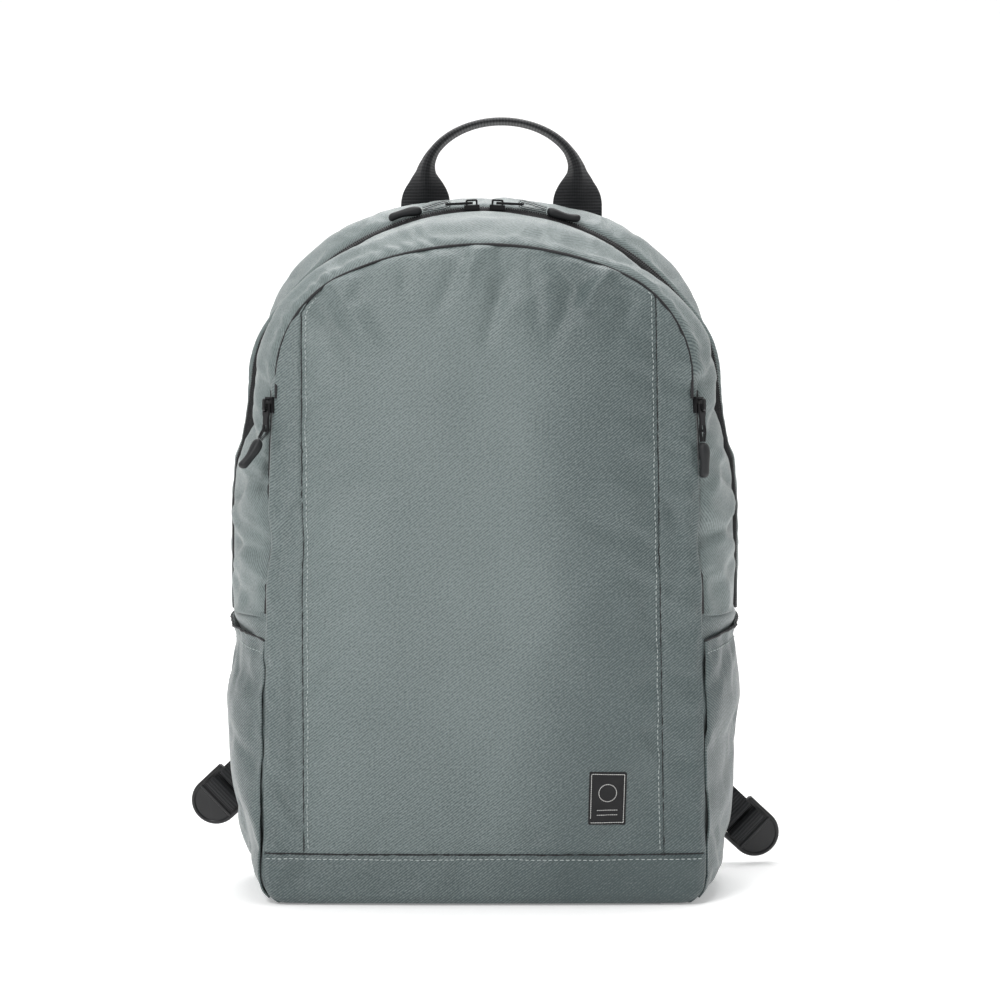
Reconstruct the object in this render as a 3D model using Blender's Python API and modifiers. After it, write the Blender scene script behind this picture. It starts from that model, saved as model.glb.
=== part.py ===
"""Daypack of coated twill cloth, built as an assembly of separate pieces.

Frame: metres, +Z up, the front of the pack faces -Y, the origin is on the floor under the middle of the base.
The walls are lofted through arches that stand one behind another, and a depth value names each arch:
-1 is the front seam, 0 is the plane of the main zip and +1 is the back seam.
"""

import math

import bmesh
import bpy
import numpy as np
from mathutils import Matrix, Vector

# ---------------------------------------------------------------- driving dimensions
GAP = 0.0003                 # clearance between pieces that are sewn or stand against each other
WALL = 0.003                 # gusset wall: cloth, thin foam and lining
CLOTH = 0.002                # single cloth with its lining
BASE_THICK = 0.004
WALL_FOOT = BASE_THICK + GAP # lowest edge of the walls

ZIP_Y = 0.005                # plane of the main zip
BACK_Y = 0.068               # plane of the back seam
FRONT_FOOT_Y = -0.073        # front seam at the floor
FRONT_LEAN = 0.010           # how far the front seam leans back at its top
FRONT_TOP = 0.417            # top of the front seam

ZIP_RADIUS = 0.168           # the main zip's arch is a true arc over +-60 degrees
ZIP_TOP = 0.442
ZIP_ARC_CENTRE_Z = ZIP_TOP - ZIP_RADIUS

SIDE_SEAM_Z = 0.182          # seam between the upper gusset and the lower side panel
BAND_TOP = 0.033             # seam over the bottom band
FRONT_DOME = 0.009           # how far the stuffed front pocket swells forward
STRIP_FOOT_X = 0.115         # topstitched seams of the front, at the band
STRIP_TOP_X = 0.105          # and at the top of the arch
STRIP_TOP_Z = 0.376

# Outward offsets of the walls from the arch's half width, by height, at the front seam, zip plane and back seam.
SIDE_HEIGHTS = (0.308, 0.250, 0.182, 0.165, 0.120, 0.060, 0.020, 0.004)
SIDE_OFFSETS = {
    -1: (0.000, 0.002, 0.004, 0.0045, 0.0055, 0.007, 0.008, 0.006),
    0: (0.000, 0.005, 0.005, -0.004, -0.006, -0.010, -0.014, -0.018),
    1: (0.000, 0.001, 0.001, 0.001, 0.000, -0.001, -0.003, -0.005),
}
LOWER_LEVELS = (0.1800, 0.174, 0.165, 0.145, 0.120, 0.090, 0.060, 0.035, 0.020, WALL_FOOT)

POCKET_MOUTH_FRONT = 0.163   # mouth of the side pocket, front end and rear end
POCKET_MOUTH_REAR = 0.176
POCKET_SWELL = 0.0100        # how far the side pocket stands off the side panel
POCKET_CLOTH = 0.0016
PANEL_SINK = 0.0055           # how far the side panel gives way behind the pocket
HEM_HEIGHT = 0.009

ARC_STEPS = 24               # over the top arc of an arch
SHOULDER_STEPS = 5
UPPER_SIDE_STEPS = 3

COIL_HEIGHT = 0.0005         # zip chain above the surrounding cloth
TAPE_TOP = -0.0015           # zip tape below the surrounding cloth
TAPE_THICK = 0.001
TAPE_IN = 0.0008
COIL_OUT = 0.0026
SLIDER_HALF_LENGTH = 0.005
MAIN_SLIDER_ANGLE = math.radians(2.8)
PULL_PIVOT_HEIGHT = 0.00345  # under the slider's bridge
CORD_PIVOT = 0.0163          # from the slider's middle to the end bar of its tab
CORD_RADIUS = 0.0006
POCKET_ZIP_TOP = 0.325
POCKET_ZIP_FOOT = 0.184
POCKET_SLIDER_Z = 0.316
POCKET_CORD_PITCH = {"left": math.radians(-38), "right": 0.0}
MAIN_CORD_PITCH = math.radians(11)

BACK_FOAM = 0.005
PAD_BACK_Y = 0.082
SIDES = {"left": -1, "right": 1}

# ---------------------------------------------------------------- scene, materials


def clear_scene():
    for obj in list(bpy.data.objects):
        bpy.data.objects.remove(obj)


def collection_named(name, hidden=False):
    made = bpy.data.collections.new(name)
    bpy.context.scene.collection.children.link(made)
    made.hide_render = hidden
    return made


def material_named(name, color, roughness, metallic=0.0):
    made = bpy.data.materials.new(name)
    made.use_nodes = True
    shader = made.node_tree.nodes["Principled BSDF"]
    shader.inputs["Base Color"].default_value = (*color, 1.0)
    shader.inputs["Roughness"].default_value = roughness
    shader.inputs["Metallic"].default_value = metallic
    return made


clear_scene()
PARTS = collection_named("daypack")
CUTTERS = collection_named("cutters", hidden=True)
SHELL = material_named("shell_twill", (0.20, 0.235, 0.235), 0.45)
LINING = material_named("lining", (0.10, 0.11, 0.11), 0.7)
ZIP = material_named("zip_tape", (0.025, 0.023, 0.024), 0.6)
WEBBING = material_named("webbing", (0.02, 0.021, 0.022), 0.65)
PLASTIC = material_named("buckle_plastic", (0.012, 0.012, 0.013), 0.35)
RUBBER = material_named("pull_rubber", (0.02, 0.021, 0.022), 0.5)
METAL = material_named("slider_metal", (0.02, 0.02, 0.02), 0.4, 0.8)
MESH_CLOTH = material_named("back_mesh", (0.018, 0.019, 0.02), 0.85)
LABEL = material_named("label_weave", (0.012, 0.012, 0.013), 0.8)


# ---------------------------------------------------------------- mesh helpers


def add_object(name, mesh, material, matrix=None):
    obj = bpy.data.objects.new(name, mesh)
    PARTS.objects.link(obj)
    obj.data.materials.append(material)
    if matrix is not None:
        obj.matrix_world = matrix
    return obj


def mesh_of(bm, name):
    bmesh.ops.recalc_face_normals(bm, faces=bm.faces)
    mesh = bpy.data.meshes.new(name)
    bm.to_mesh(mesh)
    bm.free()
    mesh.shade_smooth()
    mesh.set_sharp_from_angle(angle=math.radians(35))
    return mesh


def loft(name, rings, material, matrix=None):
    """A closed solid through rings of equally many points, with flat ends."""
    bm = bmesh.new()
    rows = [[bm.verts.new(p) for p in ring] for ring in rings]
    count = len(rings[0])
    for a, b in zip(rows, rows[1:]):
        for i in range(count):
            j = (i + 1) % count
            bm.faces.new((a[i], a[j], b[j], b[i]))
    bm.faces.new(rows[0][::-1])
    bm.faces.new(rows[-1])
    return add_object(name, mesh_of(bm, name), material, matrix)


def sheet(name, grid, thickness, material, outward):
    """A wall of that thickness behind an open grid of points. outward is a rough outward direction per point."""
    bm = bmesh.new()
    rows = [[bm.verts.new(p) for p in row] for row in grid]
    for a, b in zip(rows, rows[1:]):
        for i in range(len(a) - 1):
            bm.faces.new((a[i], a[i + 1], b[i + 1], b[i]))
    bm.normal_update()
    middle = bm.faces[:][len(bm.faces) // 2]
    if middle.normal.dot(outward(middle.calc_center_median())) < 0:
        bmesh.ops.reverse_faces(bm, faces=bm.faces)
    mesh = bpy.data.meshes.new(name)
    bm.to_mesh(mesh)
    bm.free()
    mesh.shade_smooth()
    obj = add_object(name, mesh, material)
    wall = obj.modifiers.new("wall", "SOLIDIFY")
    wall.thickness = thickness
    wall.offset = -1
    wall.use_even_offset = True
    return obj


def flat_outline(name, loops, thickness, material, matrix=None):
    """A plate whose outline and holes are closed loops of points in its own XY plane."""
    curve = bpy.data.curves.new(name, "CURVE")
    curve.dimensions = "2D"
    curve.fill_mode = "BOTH"
    curve.extrude = thickness / 2
    for loop in loops:
        spline = curve.splines.new("POLY")
        spline.points.add(len(loop) - 1)
        for point, (x, y) in zip(spline.points, loop):
            point.co = (x, y, 0, 1)
        spline.use_cyclic_u = True
    return add_object(name, curve, material, matrix)


def boolean(obj, other, operation):
    """Joins or cuts obj with other, which then goes to the cutters."""
    PARTS.objects.unlink(other)
    CUTTERS.objects.link(other)
    other.hide_render = True
    other.display_type = "WIRE"
    tool = obj.modifiers.new(operation.lower(), "BOOLEAN")
    tool.operation = operation
    tool.object = other
    tool.solver = "EXACT"


def wire(name, points, radius, material, matrix=None):
    curve = bpy.data.curves.new(name, "CURVE")
    curve.dimensions = "3D"
    curve.bevel_depth = radius
    curve.bevel_resolution = 2
    curve.use_fill_caps = True
    spline = curve.splines.new("POLY")
    spline.points.add(len(points) - 1)
    for point, p in zip(spline.points, points):
        point.co = (*p, 1)
    return add_object(name, curve, material, matrix)


def rounded_box(name, low, high, radius, material):
    """A box between two corners with rounded edges."""
    low, high = Vector(low), Vector(high)
    bm = bmesh.new()
    bmesh.ops.create_cube(bm, size=1)
    bmesh.ops.scale(bm, vec=high - low, verts=bm.verts)
    obj = add_object(name, mesh_of(bm, name), material, Matrix.Translation((low + high) / 2))
    bevel = obj.modifiers.new("edges", "BEVEL")
    bevel.width = radius
    bevel.segments = 3
    return obj


def smooth_path(points, count):
    """count points evenly along a Catmull-Rom curve through the given ones."""
    pts = [Vector(p) for p in points]
    pts = [2 * pts[0] - pts[1], *pts, 2 * pts[-1] - pts[-2]]
    fine = []
    for a, b, c, d in zip(pts, pts[1:], pts[2:], pts[3:]):
        for k in range(16):
            t = k / 16
            fine.append(0.5 * (2 * b + (c - a) * t + (2 * a - 5 * b + 4 * c - d) * t * t
                               + (3 * b - a - 3 * c + d) * t ** 3))
    fine.append(pts[-2])
    along = np.concatenate([[0], np.cumsum([(q - p).length for p, q in zip(fine, fine[1:])])])
    at = np.linspace(0, along[-1], count)
    return [Vector([np.interp(s, along, [p[k] for p in fine]) for k in range(3)]) for s in at]


def tangents(path):
    ends = [path[0], *path, path[-1]]
    return [(c - a).normalized() for a, c in zip(ends, ends[2:])]


def ribbon(name, path, width, thickness, across, material):
    """A flat strip along a path. width and across, its width direction, may be values or functions of 0..1."""
    rings = []
    for i, (p, t) in enumerate(zip(path, tangents(path))):
        share = i / (len(path) - 1)
        b = Vector(across(share) if callable(across) else across)
        b = (b - b.dot(t) * t).normalized()
        n = t.cross(b)
        w = (width(share) if callable(width) else width) / 2
        h = thickness / 2
        rings.append([p + b * w + n * h, p - b * w + n * h, p - b * w - n * h, p + b * w - n * h])
    return loft(name, rings, material)


def oval(centre, a, b, a_dir, b_dir, count=12, power=2.0):
    """A closed ring of points: an ellipse at power 2, and boxier above it."""
    ring = []
    for k in range(count):
        angle = 2 * math.pi * (k + 0.5) / count
        c, s = math.cos(angle), math.sin(angle)
        x = math.copysign(abs(c) ** (2 / power), c)
        y = math.copysign(abs(s) ** (2 / power), s)
        ring.append(centre + a_dir * (a * x) + b_dir * (b * y))
    return ring


# ---------------------------------------------------------------- the pack's walls


def front_y(z):
    return FRONT_FOOT_Y + FRONT_LEAN * (max(z, 0) / FRONT_TOP) ** 2


def depth_y(depth, z):
    if depth < 0:
        return ZIP_Y - depth * (front_y(z) - ZIP_Y)
    return ZIP_Y + depth * (BACK_Y - ZIP_Y)


def arch_sizes(depth):
    """(half width, top, radius of the top arc, its half angle) of the arch at that depth."""
    if depth < 0:
        e = -depth
        return (0.159 - 0.028 * e ** 2.2, ZIP_TOP - 0.025 * e ** 2,
                ZIP_RADIUS + 0.047 * e, math.radians(60 - 36 * e))
    return (0.159 + 0.006 * depth - 0.022 * depth ** 3, ZIP_TOP + 0.018 * depth - 0.022 * depth ** 3,
            ZIP_RADIUS + 0.072 * depth, math.radians(60 - 34 * depth))


def side_offset(depth, z):
    heights = SIDE_HEIGHTS[::-1]
    middle = float(np.interp(z, heights, SIDE_OFFSETS[0][::-1]))
    end = float(np.interp(z, heights, SIDE_OFFSETS[-1 if depth < 0 else 1][::-1]))
    return middle + (end - middle) * abs(depth) ** 1.6


def upper_half(depth):
    """(x, z) of the right half of the arch, from the middle of its top down to the side seam."""
    half, top, radius, angle = arch_sizes(depth)
    shoulder = (half - radius * math.sin(angle)) / (1 - math.sin(angle))
    centre = (radius - shoulder) * math.sin(angle), top - radius + (radius - shoulder) * math.cos(angle)
    points = []
    for k in range(ARC_STEPS // 2 + 1):
        a = angle * k / (ARC_STEPS // 2)
        points.append((radius * math.sin(a), top - radius + radius * math.cos(a)))
    for k in range(1, SHOULDER_STEPS + 1):
        a = angle + (math.pi / 2 - angle) * k / SHOULDER_STEPS
        points.append((centre[0] + shoulder * math.sin(a), centre[1] + shoulder * math.cos(a)))
    for k in range(1, UPPER_SIDE_STEPS + 1):
        z = centre[1] + (SIDE_SEAM_Z - centre[1]) * k / UPPER_SIDE_STEPS
        points.append((half + side_offset(depth, min(z, SIDE_HEIGHTS[0])), z))
    return points


def half_width(depth, z):
    """Half the width of the wall at a height below the top."""
    if z <= SIDE_SEAM_Z:
        return arch_sizes(depth)[0] + side_offset(depth, z)
    points = upper_half(depth)[::-1]
    return float(np.interp(z, [p[1] for p in points], [p[0] for p in points]))


def height_at(depth, x):
    points = upper_half(depth)
    arch = [p for p, q in zip(points, points[1:]) if p[0] < q[0]]
    return float(np.interp(abs(x), [p[0] for p in arch], [p[1] for p in arch]))


def arch_line(depth, lift=0.0):
    """The whole arch at that depth from the left side seam to the right one, moved out by lift."""
    right = upper_half(depth)
    plane = [(-x, z) for x, z in right[:0:-1]] + right
    line = []
    for i, (x, z) in enumerate(plane):
        a, b = plane[max(i - 1, 0)], plane[min(i + 1, len(plane) - 1)]
        run, rise = b[0] - a[0], b[1] - a[1]
        size = math.hypot(run, rise)
        line.append(Vector((x - rise / size * lift, depth_y(depth, z), z + run / size * lift)))
    return line


def away_from_middle(point):
    return Vector((point.x, 0, point.z - 0.22))


def gusset(name, depths):
    sheet(name, [arch_line(d) for d in depths], WALL, SHELL, away_from_middle)


def side_panel(side):
    depths = [-0.99, -0.9, -0.7, -0.35, 0, 0.35, 0.7, 0.9, 0.99]
    grid = []
    for z in LOWER_LEVELS:
        up = min((z - WALL_FOOT) / 0.045, (LOWER_LEVELS[0] - z) / 0.014, 1)
        sinks = [PANEL_SINK * up * max(math.cos(math.pi / 2 * d / 0.8), 0) for d in depths]
        grid.append([Vector((SIDES[side] * (half_width(d, z) - sink), depth_y(d, z), z))
                     for d, sink in zip(depths, sinks)])
    sheet(f"side_panel_{side}", grid, WALL, SHELL, lambda p: Vector((p.x, 0, 0)))


def pocket_mouth(depth):
    return POCKET_MOUTH_FRONT + (POCKET_MOUTH_REAR - POCKET_MOUTH_FRONT) * (depth + 0.8) / 1.65


def pocket_point(side, depth, z, mouth):
    """The side pocket's outer face: sewn down at its front, rear and foot, and swelling between them."""
    across = math.sin(math.pi * min(max((depth + 0.8) / 1.65, 0), 1)) ** 0.6
    up = math.sin(math.pi / 2 * min(max((z - 0.006) / 0.055, 0), 1)) ** 0.8
    lift = 0.0022 + POCKET_SWELL * across * up
    x = half_width(depth, z) + lift
    return Vector((SIDES[side] * x, depth_y(depth, z), z))


def side_pocket(side):
    depths = [-0.8, -0.7, -0.5, -0.25, 0.0, 0.25, 0.5, 0.75, 0.85]
    shares = (1.0, 0.86, 0.68, 0.5, 0.34, 0.2, 0.1, 0.0)
    foot = 0.0065
    grid = []
    for share in shares:
        row = []
        for d in depths:
            top = pocket_mouth(d) - HEM_HEIGHT - GAP
            row.append(pocket_point(side, d, foot + share * (top - foot), top))
        grid.append(row)
    sheet(f"side_pocket_{side}", grid, POCKET_CLOTH, SHELL, lambda p: Vector((p.x, 0, 0)))
    hem = []
    for share in (1.0, 0.5, 0.0):
        hem.append([pocket_point(side, d, pocket_mouth(d) - (1 - share) * HEM_HEIGHT, 0) for d in depths])
    sheet(f"side_pocket_hem_{side}", hem, POCKET_CLOTH, SHELL, lambda p: Vector((p.x, 0, 0)))


def front_surface(x, z, lift=0.0):
    """The outer face of the front, swollen by the stuffed pocket behind it."""
    across = 1 - min(abs(x) / max(half_width(-1, z), 0.001), 1) ** 2.5
    up = 1 - min(abs(z - 0.2) / 0.217, 1) ** 4
    return Vector((x, front_y(z) - GAP - CLOTH - FRONT_DOME * across * up - lift, z))


def strip_x(z):
    share = (z - BAND_TOP) / (STRIP_TOP_Z - BAND_TOP)
    return STRIP_FOOT_X + (STRIP_TOP_X - STRIP_FOOT_X) * share


def front_panels():
    forward = lambda p: Vector((0, -1, 0))
    columns = [k / 7 for k in range(-7, 8)]
    rows = [k / 12 for k in range(13)]
    foot = BAND_TOP + GAP
    grid = []
    for g in rows:
        row = []
        for f in columns:
            x = f * strip_x(foot + g * (STRIP_TOP_Z - foot))
            row.append(front_surface(x, foot + g * (height_at(-1, x) - foot)))
        grid.append(row)
    sheet("front_panel_centre", grid, CLOTH, SHELL, forward)
    for side, sign in SIDES.items():
        grid = []
        for k in range(12):
            z = foot + (STRIP_TOP_Z - 0.002 - foot) * k / 11
            inner, outer = strip_x(z) + 0.0005, half_width(-1, z)
            grid.append([front_surface(sign * (inner + (outer - inner) * f), z) for f in (0, 0.35, 0.7, 1)])
        sheet(f"front_strip_{side}", grid, CLOTH, SHELL, forward)
    levels = [WALL_FOOT, 0.012, 0.022, BAND_TOP]
    grid = [[front_surface(k / 8 * half_width(-1, z), z) for k in range(-8, 9)] for z in levels]
    sheet("bottom_band", grid, CLOTH, SHELL, forward)


def front_pocket_divider():
    grid = []
    for k in range(11):
        row = []
        for f in [j / 6 for j in range(-6, 7)]:
            x = f * 0.120
            z = 0.008 + (height_at(-1, x) - 0.010 - 0.008) * k / 10
            row.append(Vector((x, front_y(z) + 0.009, z)))
        grid.append(row)
    sheet("front_pocket_divider", grid, CLOTH, LINING, lambda p: Vector((0, -1, 0)))


def back_outline(inset):
    """Closed loop (x, z) of the back panel, inset from the back seam."""
    line = arch_line(1.0, -inset)
    loop = [(p.x, p.z) for p in line]
    loop += [(half_width(1, z) - inset, z) for z in (0.120, 0.060, 0.020, WALL_FOOT)]
    loop += [(-x, z) for x, z in loop[:-5:-1]]
    return loop


def upright(y):
    """Places a plate drawn in (x, z) upright, its middle at that y."""
    return Matrix.Translation((0, y, 0)) @ Matrix.Rotation(math.pi / 2, 4, "X")


def back_panel():
    flat_outline("back_panel", [back_outline(0.001)], BACK_FOAM, SHELL,
                 upright(BACK_Y + GAP + BACK_FOAM / 2))


def laptop_sleeve():
    rounded_box("laptop_sleeve", (-0.124, 0.050, 0.008), (0.124, 0.0535, 0.285), 0.001, LINING)


def base_panel():
    bm = bmesh.new()
    bmesh.ops.create_cube(bm, size=1)
    bmesh.ops.scale(bm, vec=(0.276, 0.145, BASE_THICK), verts=bm.verts)
    uprights = [e for e in bm.edges if abs(e.verts[0].co.z - e.verts[1].co.z) > BASE_THICK / 2]
    bmesh.ops.bevel(bm, geom=uprights, offset=0.014, segments=5, affect="EDGES", profile=0.5)
    add_object("base_panel", mesh_of(bm, "base_panel"), SHELL,
               Matrix.Translation((0, -0.0025, BASE_THICK / 2)))


def front_piping():
    """The rolled edge of cloth along the arch of the front seam, between the two pocket zips."""
    inner = arch_line(-0.995)
    outer = arch_line(-0.915)
    keep = [i for i, p in enumerate(inner) if p.z > POCKET_ZIP_TOP + 0.004]
    rings = []
    for i in keep:
        middle = (inner[i] + outer[i]) / 2
        out = away_from_middle(middle).normalized()
        side = (outer[i] - inner[i]) / 2
        rings.append([middle - side, middle - side * 0.4 + out * 0.0012, middle + side * 0.5 + out * 0.0012,
                      middle + side, middle + side * 0.6 - out * 0.0026, middle - side * 0.7 - out * 0.0026])
    loft("front_seam_piping", rings, SHELL)


# ---------------------------------------------------------------- zips


def zip_profile(sign, tape_out):
    """(across, up) of one half of a zip: its tape, and its half of the coil on the tape's inner edge."""
    return [(sign * TAPE_IN, TAPE_TOP - TAPE_THICK), (sign * tape_out, TAPE_TOP - TAPE_THICK),
            (sign * tape_out, TAPE_TOP), (sign * COIL_OUT, TAPE_TOP),
            (sign * COIL_OUT, COIL_HEIGHT - 0.0006), (sign * (COIL_OUT - 0.0006), COIL_HEIGHT),
            (sign * TAPE_IN, COIL_HEIGHT)]


def main_zip():
    """Both halves of the main zip, from one side seam over the top to the other."""
    base = arch_line(0)
    for name, sign in (("main_zip_front_half", -1), ("main_zip_rear_half", 1)):
        lines = [(across, arch_line(0, up)) for across, up in zip_profile(sign, 0.0047)]
        rings = []
        for i, p in enumerate(base):
            if p.z > SIDE_SEAM_Z + GAP or i in (0, len(base) - 1):
                rings.append([Vector((line[i].x, ZIP_Y + across, max(line[i].z, SIDE_SEAM_Z + GAP)))
                              for across, line in lines])
        loft(name, rings, ZIP)


def pocket_zip_frame(side, z):
    """Matrix at the pocket zip's line at that height: X runs down the zip, Z points out of the cloth."""
    sign = SIDES[side]

    def at(depth, height):
        return Vector((sign * half_width(depth, height), depth_y(depth, height), height))

    top, foot = at(-0.95, POCKET_ZIP_TOP), at(-0.95, POCKET_ZIP_FOOT)
    along = (foot - top).normalized()
    middle = (POCKET_ZIP_TOP + POCKET_ZIP_FOOT) / 2
    across = at(-0.915, middle) - at(-0.985, middle)
    out = along.cross(across).normalized()
    if out.x * sign < 0:
        out = -out
    lateral = out.cross(along)
    place = top + (foot - top) * (POCKET_ZIP_TOP - z) / (POCKET_ZIP_TOP - POCKET_ZIP_FOOT)
    matrix = Matrix((along, lateral, out)).transposed().to_4x4()
    matrix.translation = place
    return matrix


def pocket_zip(side):
    frame = pocket_zip_frame(side, POCKET_ZIP_TOP)
    length = (pocket_zip_frame(side, POCKET_ZIP_FOOT).translation - frame.translation).length
    toward_back = frame.to_3x3() @ Vector((0, 1, 0))
    rear = 1 if toward_back.y > 0 else -1
    for half, sign in (("front", -rear), ("rear", rear)):
        rings = [[Vector((x, across, up)) for across, up in zip_profile(sign, 0.0041)]
                 for x in (0, length / 2, length)]
        loft(f"pocket_zip_{half}_half_{side}", rings, ZIP, frame)


SLIDER_SECTION = ((-3.8, -3.9), (3.8, -3.9), (3.8, -2.9), (0.4, -2.9), (0.4, 1.0), (3.1, 1.0), (3.1, -1.1),
                  (3.8, -1.1), (3.8, 2.2), (-3.8, 2.2), (-3.8, -1.1), (-3.1, -1.1), (-3.1, 1.0), (-0.4, 1.0),
                  (-0.4, -2.9), (-3.8, -2.9))
BRIDGE_SIDE = ((-3.9, 1.9), (-2.6, 1.9), (-2.6, 4.7), (2.6, 4.7), (2.6, 1.9), (3.9, 1.9), (3.9, 5.2),
               (3.2, 5.9), (-3.2, 5.9), (-3.9, 5.2))
TAB_OUTLINE = ((-0.55, -3.0), (6.0, -3.0), (8.0, -2.3), (12.0, -2.3), (13.5, -2.8), (16.4, -2.8), (17.0, -2.2),
               (17.0, 2.2), (16.4, 2.8), (13.5, 2.8), (12.0, 2.3), (8.0, 2.3), (6.0, 3.0), (-0.55, 3.0))
TAB_BRIDGE_HOLE = ((0.55, -1.75), (0.55, 1.75), (4.9, 1.75), (4.9, -1.75))
TAB_CORD_HOLE = ((12.9, -1.7), (12.9, 1.7), (15.6, 1.7), (15.6, -1.7))
CORD_LOOP = ((16.0, 0.95), (12.0, 1.2), (6.0, 1.7), (1.5, 1.8), (-0.8, 1.7), (-1.7, 1.0), (-1.95, 0.0),
             (-1.7, -1.0), (-0.8, -1.7), (1.5, -1.8), (6.0, -1.7), (12.0, -1.2), (16.0, -0.95))
GRIP_STATIONS = ((16.4, 2.6, 2.0), (17.2, 3.1, 2.4), (22.0, 2.9, 2.2), (28.0, 3.0, 2.1), (33.5, 3.7, 2.3),
                 (37.0, 3.6, 2.2), (38.8, 2.6, 1.6))
MM = 0.001


def extruded(name, outline, half_length, material, matrix):
    """A prism: the outline, in mm, lies in the YZ plane, and the prism runs along X."""
    rings = [[Vector((x, y * MM, z * MM)) for y, z in outline] for x in (-half_length, half_length)]
    return loft(name, rings, material, matrix)


def slider(name, frame):
    body = extruded(name, SLIDER_SECTION, SLIDER_HALF_LENGTH, METAL, frame)
    turned = frame @ Matrix.Rotation(math.pi / 2, 4, "Z")
    bridge = extruded(name + "_bridge", [(-x, z) for x, z in BRIDGE_SIDE], 0.0012, METAL, turned)
    boolean(body, bridge, "UNION")
    body.modifiers.new("weld", "WELD").merge_threshold = 1e-6


def zip_pull(name, frame, cord_pitch):
    """A slider at frame, with its tab, the cord loop through the tab and the rubber grip on the cord."""
    slider(f"{name}_slider", frame)
    pivot = frame @ Matrix.Translation((0, 0, PULL_PIVOT_HEIGHT))
    loops = [[(x * MM, y * MM) for x, y in loop] for loop in (TAB_OUTLINE, TAB_BRIDGE_HOLE, TAB_CORD_HOLE)]
    flat_outline(f"{name}_tab", loops, 0.0011, METAL, pivot)
    end = pivot @ Matrix.Translation((CORD_PIVOT, 0, 0)) @ Matrix.Rotation(cord_pitch, 4, "Y")
    wire(f"{name}_cord", [(x * MM, 0, z * MM) for x, z in CORD_LOOP], CORD_RADIUS, WEBBING, end)
    rings = [oval(Vector((x * MM, 0, 0)), w * MM, h * MM, Vector((0, 1, 0)), Vector((0, 0, 1)), 12, 2.6)
             for x, w, h in GRIP_STATIONS]
    loft(f"{name}_grip", rings, RUBBER, end)


def main_zip_frame(side):
    """Matrix on the main zip's arc: X points along the arc away from the middle, Z points out of the cloth."""
    sign = SIDES[side]
    out = Vector((sign * math.sin(MAIN_SLIDER_ANGLE), 0, math.cos(MAIN_SLIDER_ANGLE)))
    along = Vector((sign * math.cos(MAIN_SLIDER_ANGLE), 0, -math.sin(MAIN_SLIDER_ANGLE)))
    matrix = Matrix((along, out.cross(along), out)).transposed().to_4x4()
    matrix.translation = Vector((0, ZIP_Y, ZIP_ARC_CENTRE_Z)) + out * ZIP_RADIUS
    return matrix


# ---------------------------------------------------------------- handle, straps, buckles


HANDLE_Y = 0.0757
HANDLE_FOOT_Z = 0.4335
HANDLE_LEG_X = 0.051
HANDLE_ARCH_Z = 0.466
HANDLE_RISE = 0.0420


def handle_path():
    legs = [Vector((-HANDLE_LEG_X, HANDLE_Y, z)) for z in (HANDLE_FOOT_Z, 0.441, 0.448, 0.454, 0.460)]
    arch = [Vector((-HANDLE_LEG_X * math.cos(a), HANDLE_Y, HANDLE_ARCH_Z + HANDLE_RISE * math.sin(a)))
            for a in [math.pi * k / 20 for k in range(21)]]
    return legs + arch + [Vector((-p.x, p.y, p.z)) for p in legs[::-1]]


def grab_handle():
    """Wide webbing sewn flat at both ends and folded lengthwise to a narrow grip between them."""
    path = handle_path()
    rings = []
    for p, t in zip(path, tangents(path)):
        rise = p.z - HANDLE_FOOT_Z
        in_plane = float(np.interp(rise, (0, 0.014, 0.024, 0.031, 0.036, 0.045),
                                   (0.0175, 0.0170, 0.0120, 0.0065, 0.0038, 0.0026)))
        depth = float(np.interp(rise, (0, 0.014, 0.024, 0.036, 0.045), (0.0015, 0.0017, 0.0040, 0.0080, 0.0090)))
        rings.append(oval(p, in_plane, depth, t.cross(Vector((0, 1, 0))), Vector((0, 1, 0)), 12, 2.6))
    loft("grab_handle", rings, WEBBING)


STRAP_TOP = Vector((0.038, 0.0845, 0.408))
STRAP_ROUTE = ((0.038, 0.0845, 0.408), (0.044, 0.092, 0.365), (0.052, 0.0985, 0.310), (0.058, 0.102, 0.250),
               (0.063, 0.103, 0.195), (0.073, 0.101, 0.155), (0.090, 0.098, 0.128))
BUCKLE_HEIGHT = {"left": 0.056, "right": 0.034}
BUCKLE_X = 0.170
BUCKLE_Y = 0.082
BUCKLE_THICK = 0.0032
WEBBING_WIDTH = 0.024
WEBBING_THICK = 0.0014


def mirrored(point, side):
    return Vector((SIDES[side] * point[0], point[1], point[2]))


def strap_pad(side):
    path = smooth_path([mirrored(p, side) for p in STRAP_ROUTE], 17)
    rings = []
    for i, (p, t) in enumerate(zip(path, tangents(path))):
        share = i / 16
        across = Vector((0, 1, 0)).cross(t).normalized()
        width = float(np.interp(share, (0, 0.15, 0.45, 0.75, 0.92, 1), (0.024, 0.028, 0.030, 0.027, 0.020, 0.015)))
        thick = float(np.interp(share, (0, 0.1, 0.9, 1), (0.003, 0.0055, 0.0055, 0.0028)))
        rings.append(oval(p, width, thick, across, t.cross(across).normalized(), 12, 3.2))
    loft(f"strap_pad_{side}", rings, MESH_CLOTH)


def buckle_frame(side):
    """Matrix at the buckle's sewn bar: X runs to the buckle's lip, Y along its bars, Z to the front."""
    sign = SIDES[side]
    along = Vector((sign * 0.70, 0.25, -0.67)).normalized()
    front = Vector((0, -1, 0))
    out = (front - front.dot(along) * along).normalized()
    matrix = Matrix((along, out.cross(along), out)).transposed().to_4x4()
    matrix.translation = Vector((sign * BUCKLE_X, BUCKLE_Y, BUCKLE_HEIGHT[side]))
    return matrix


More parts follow.
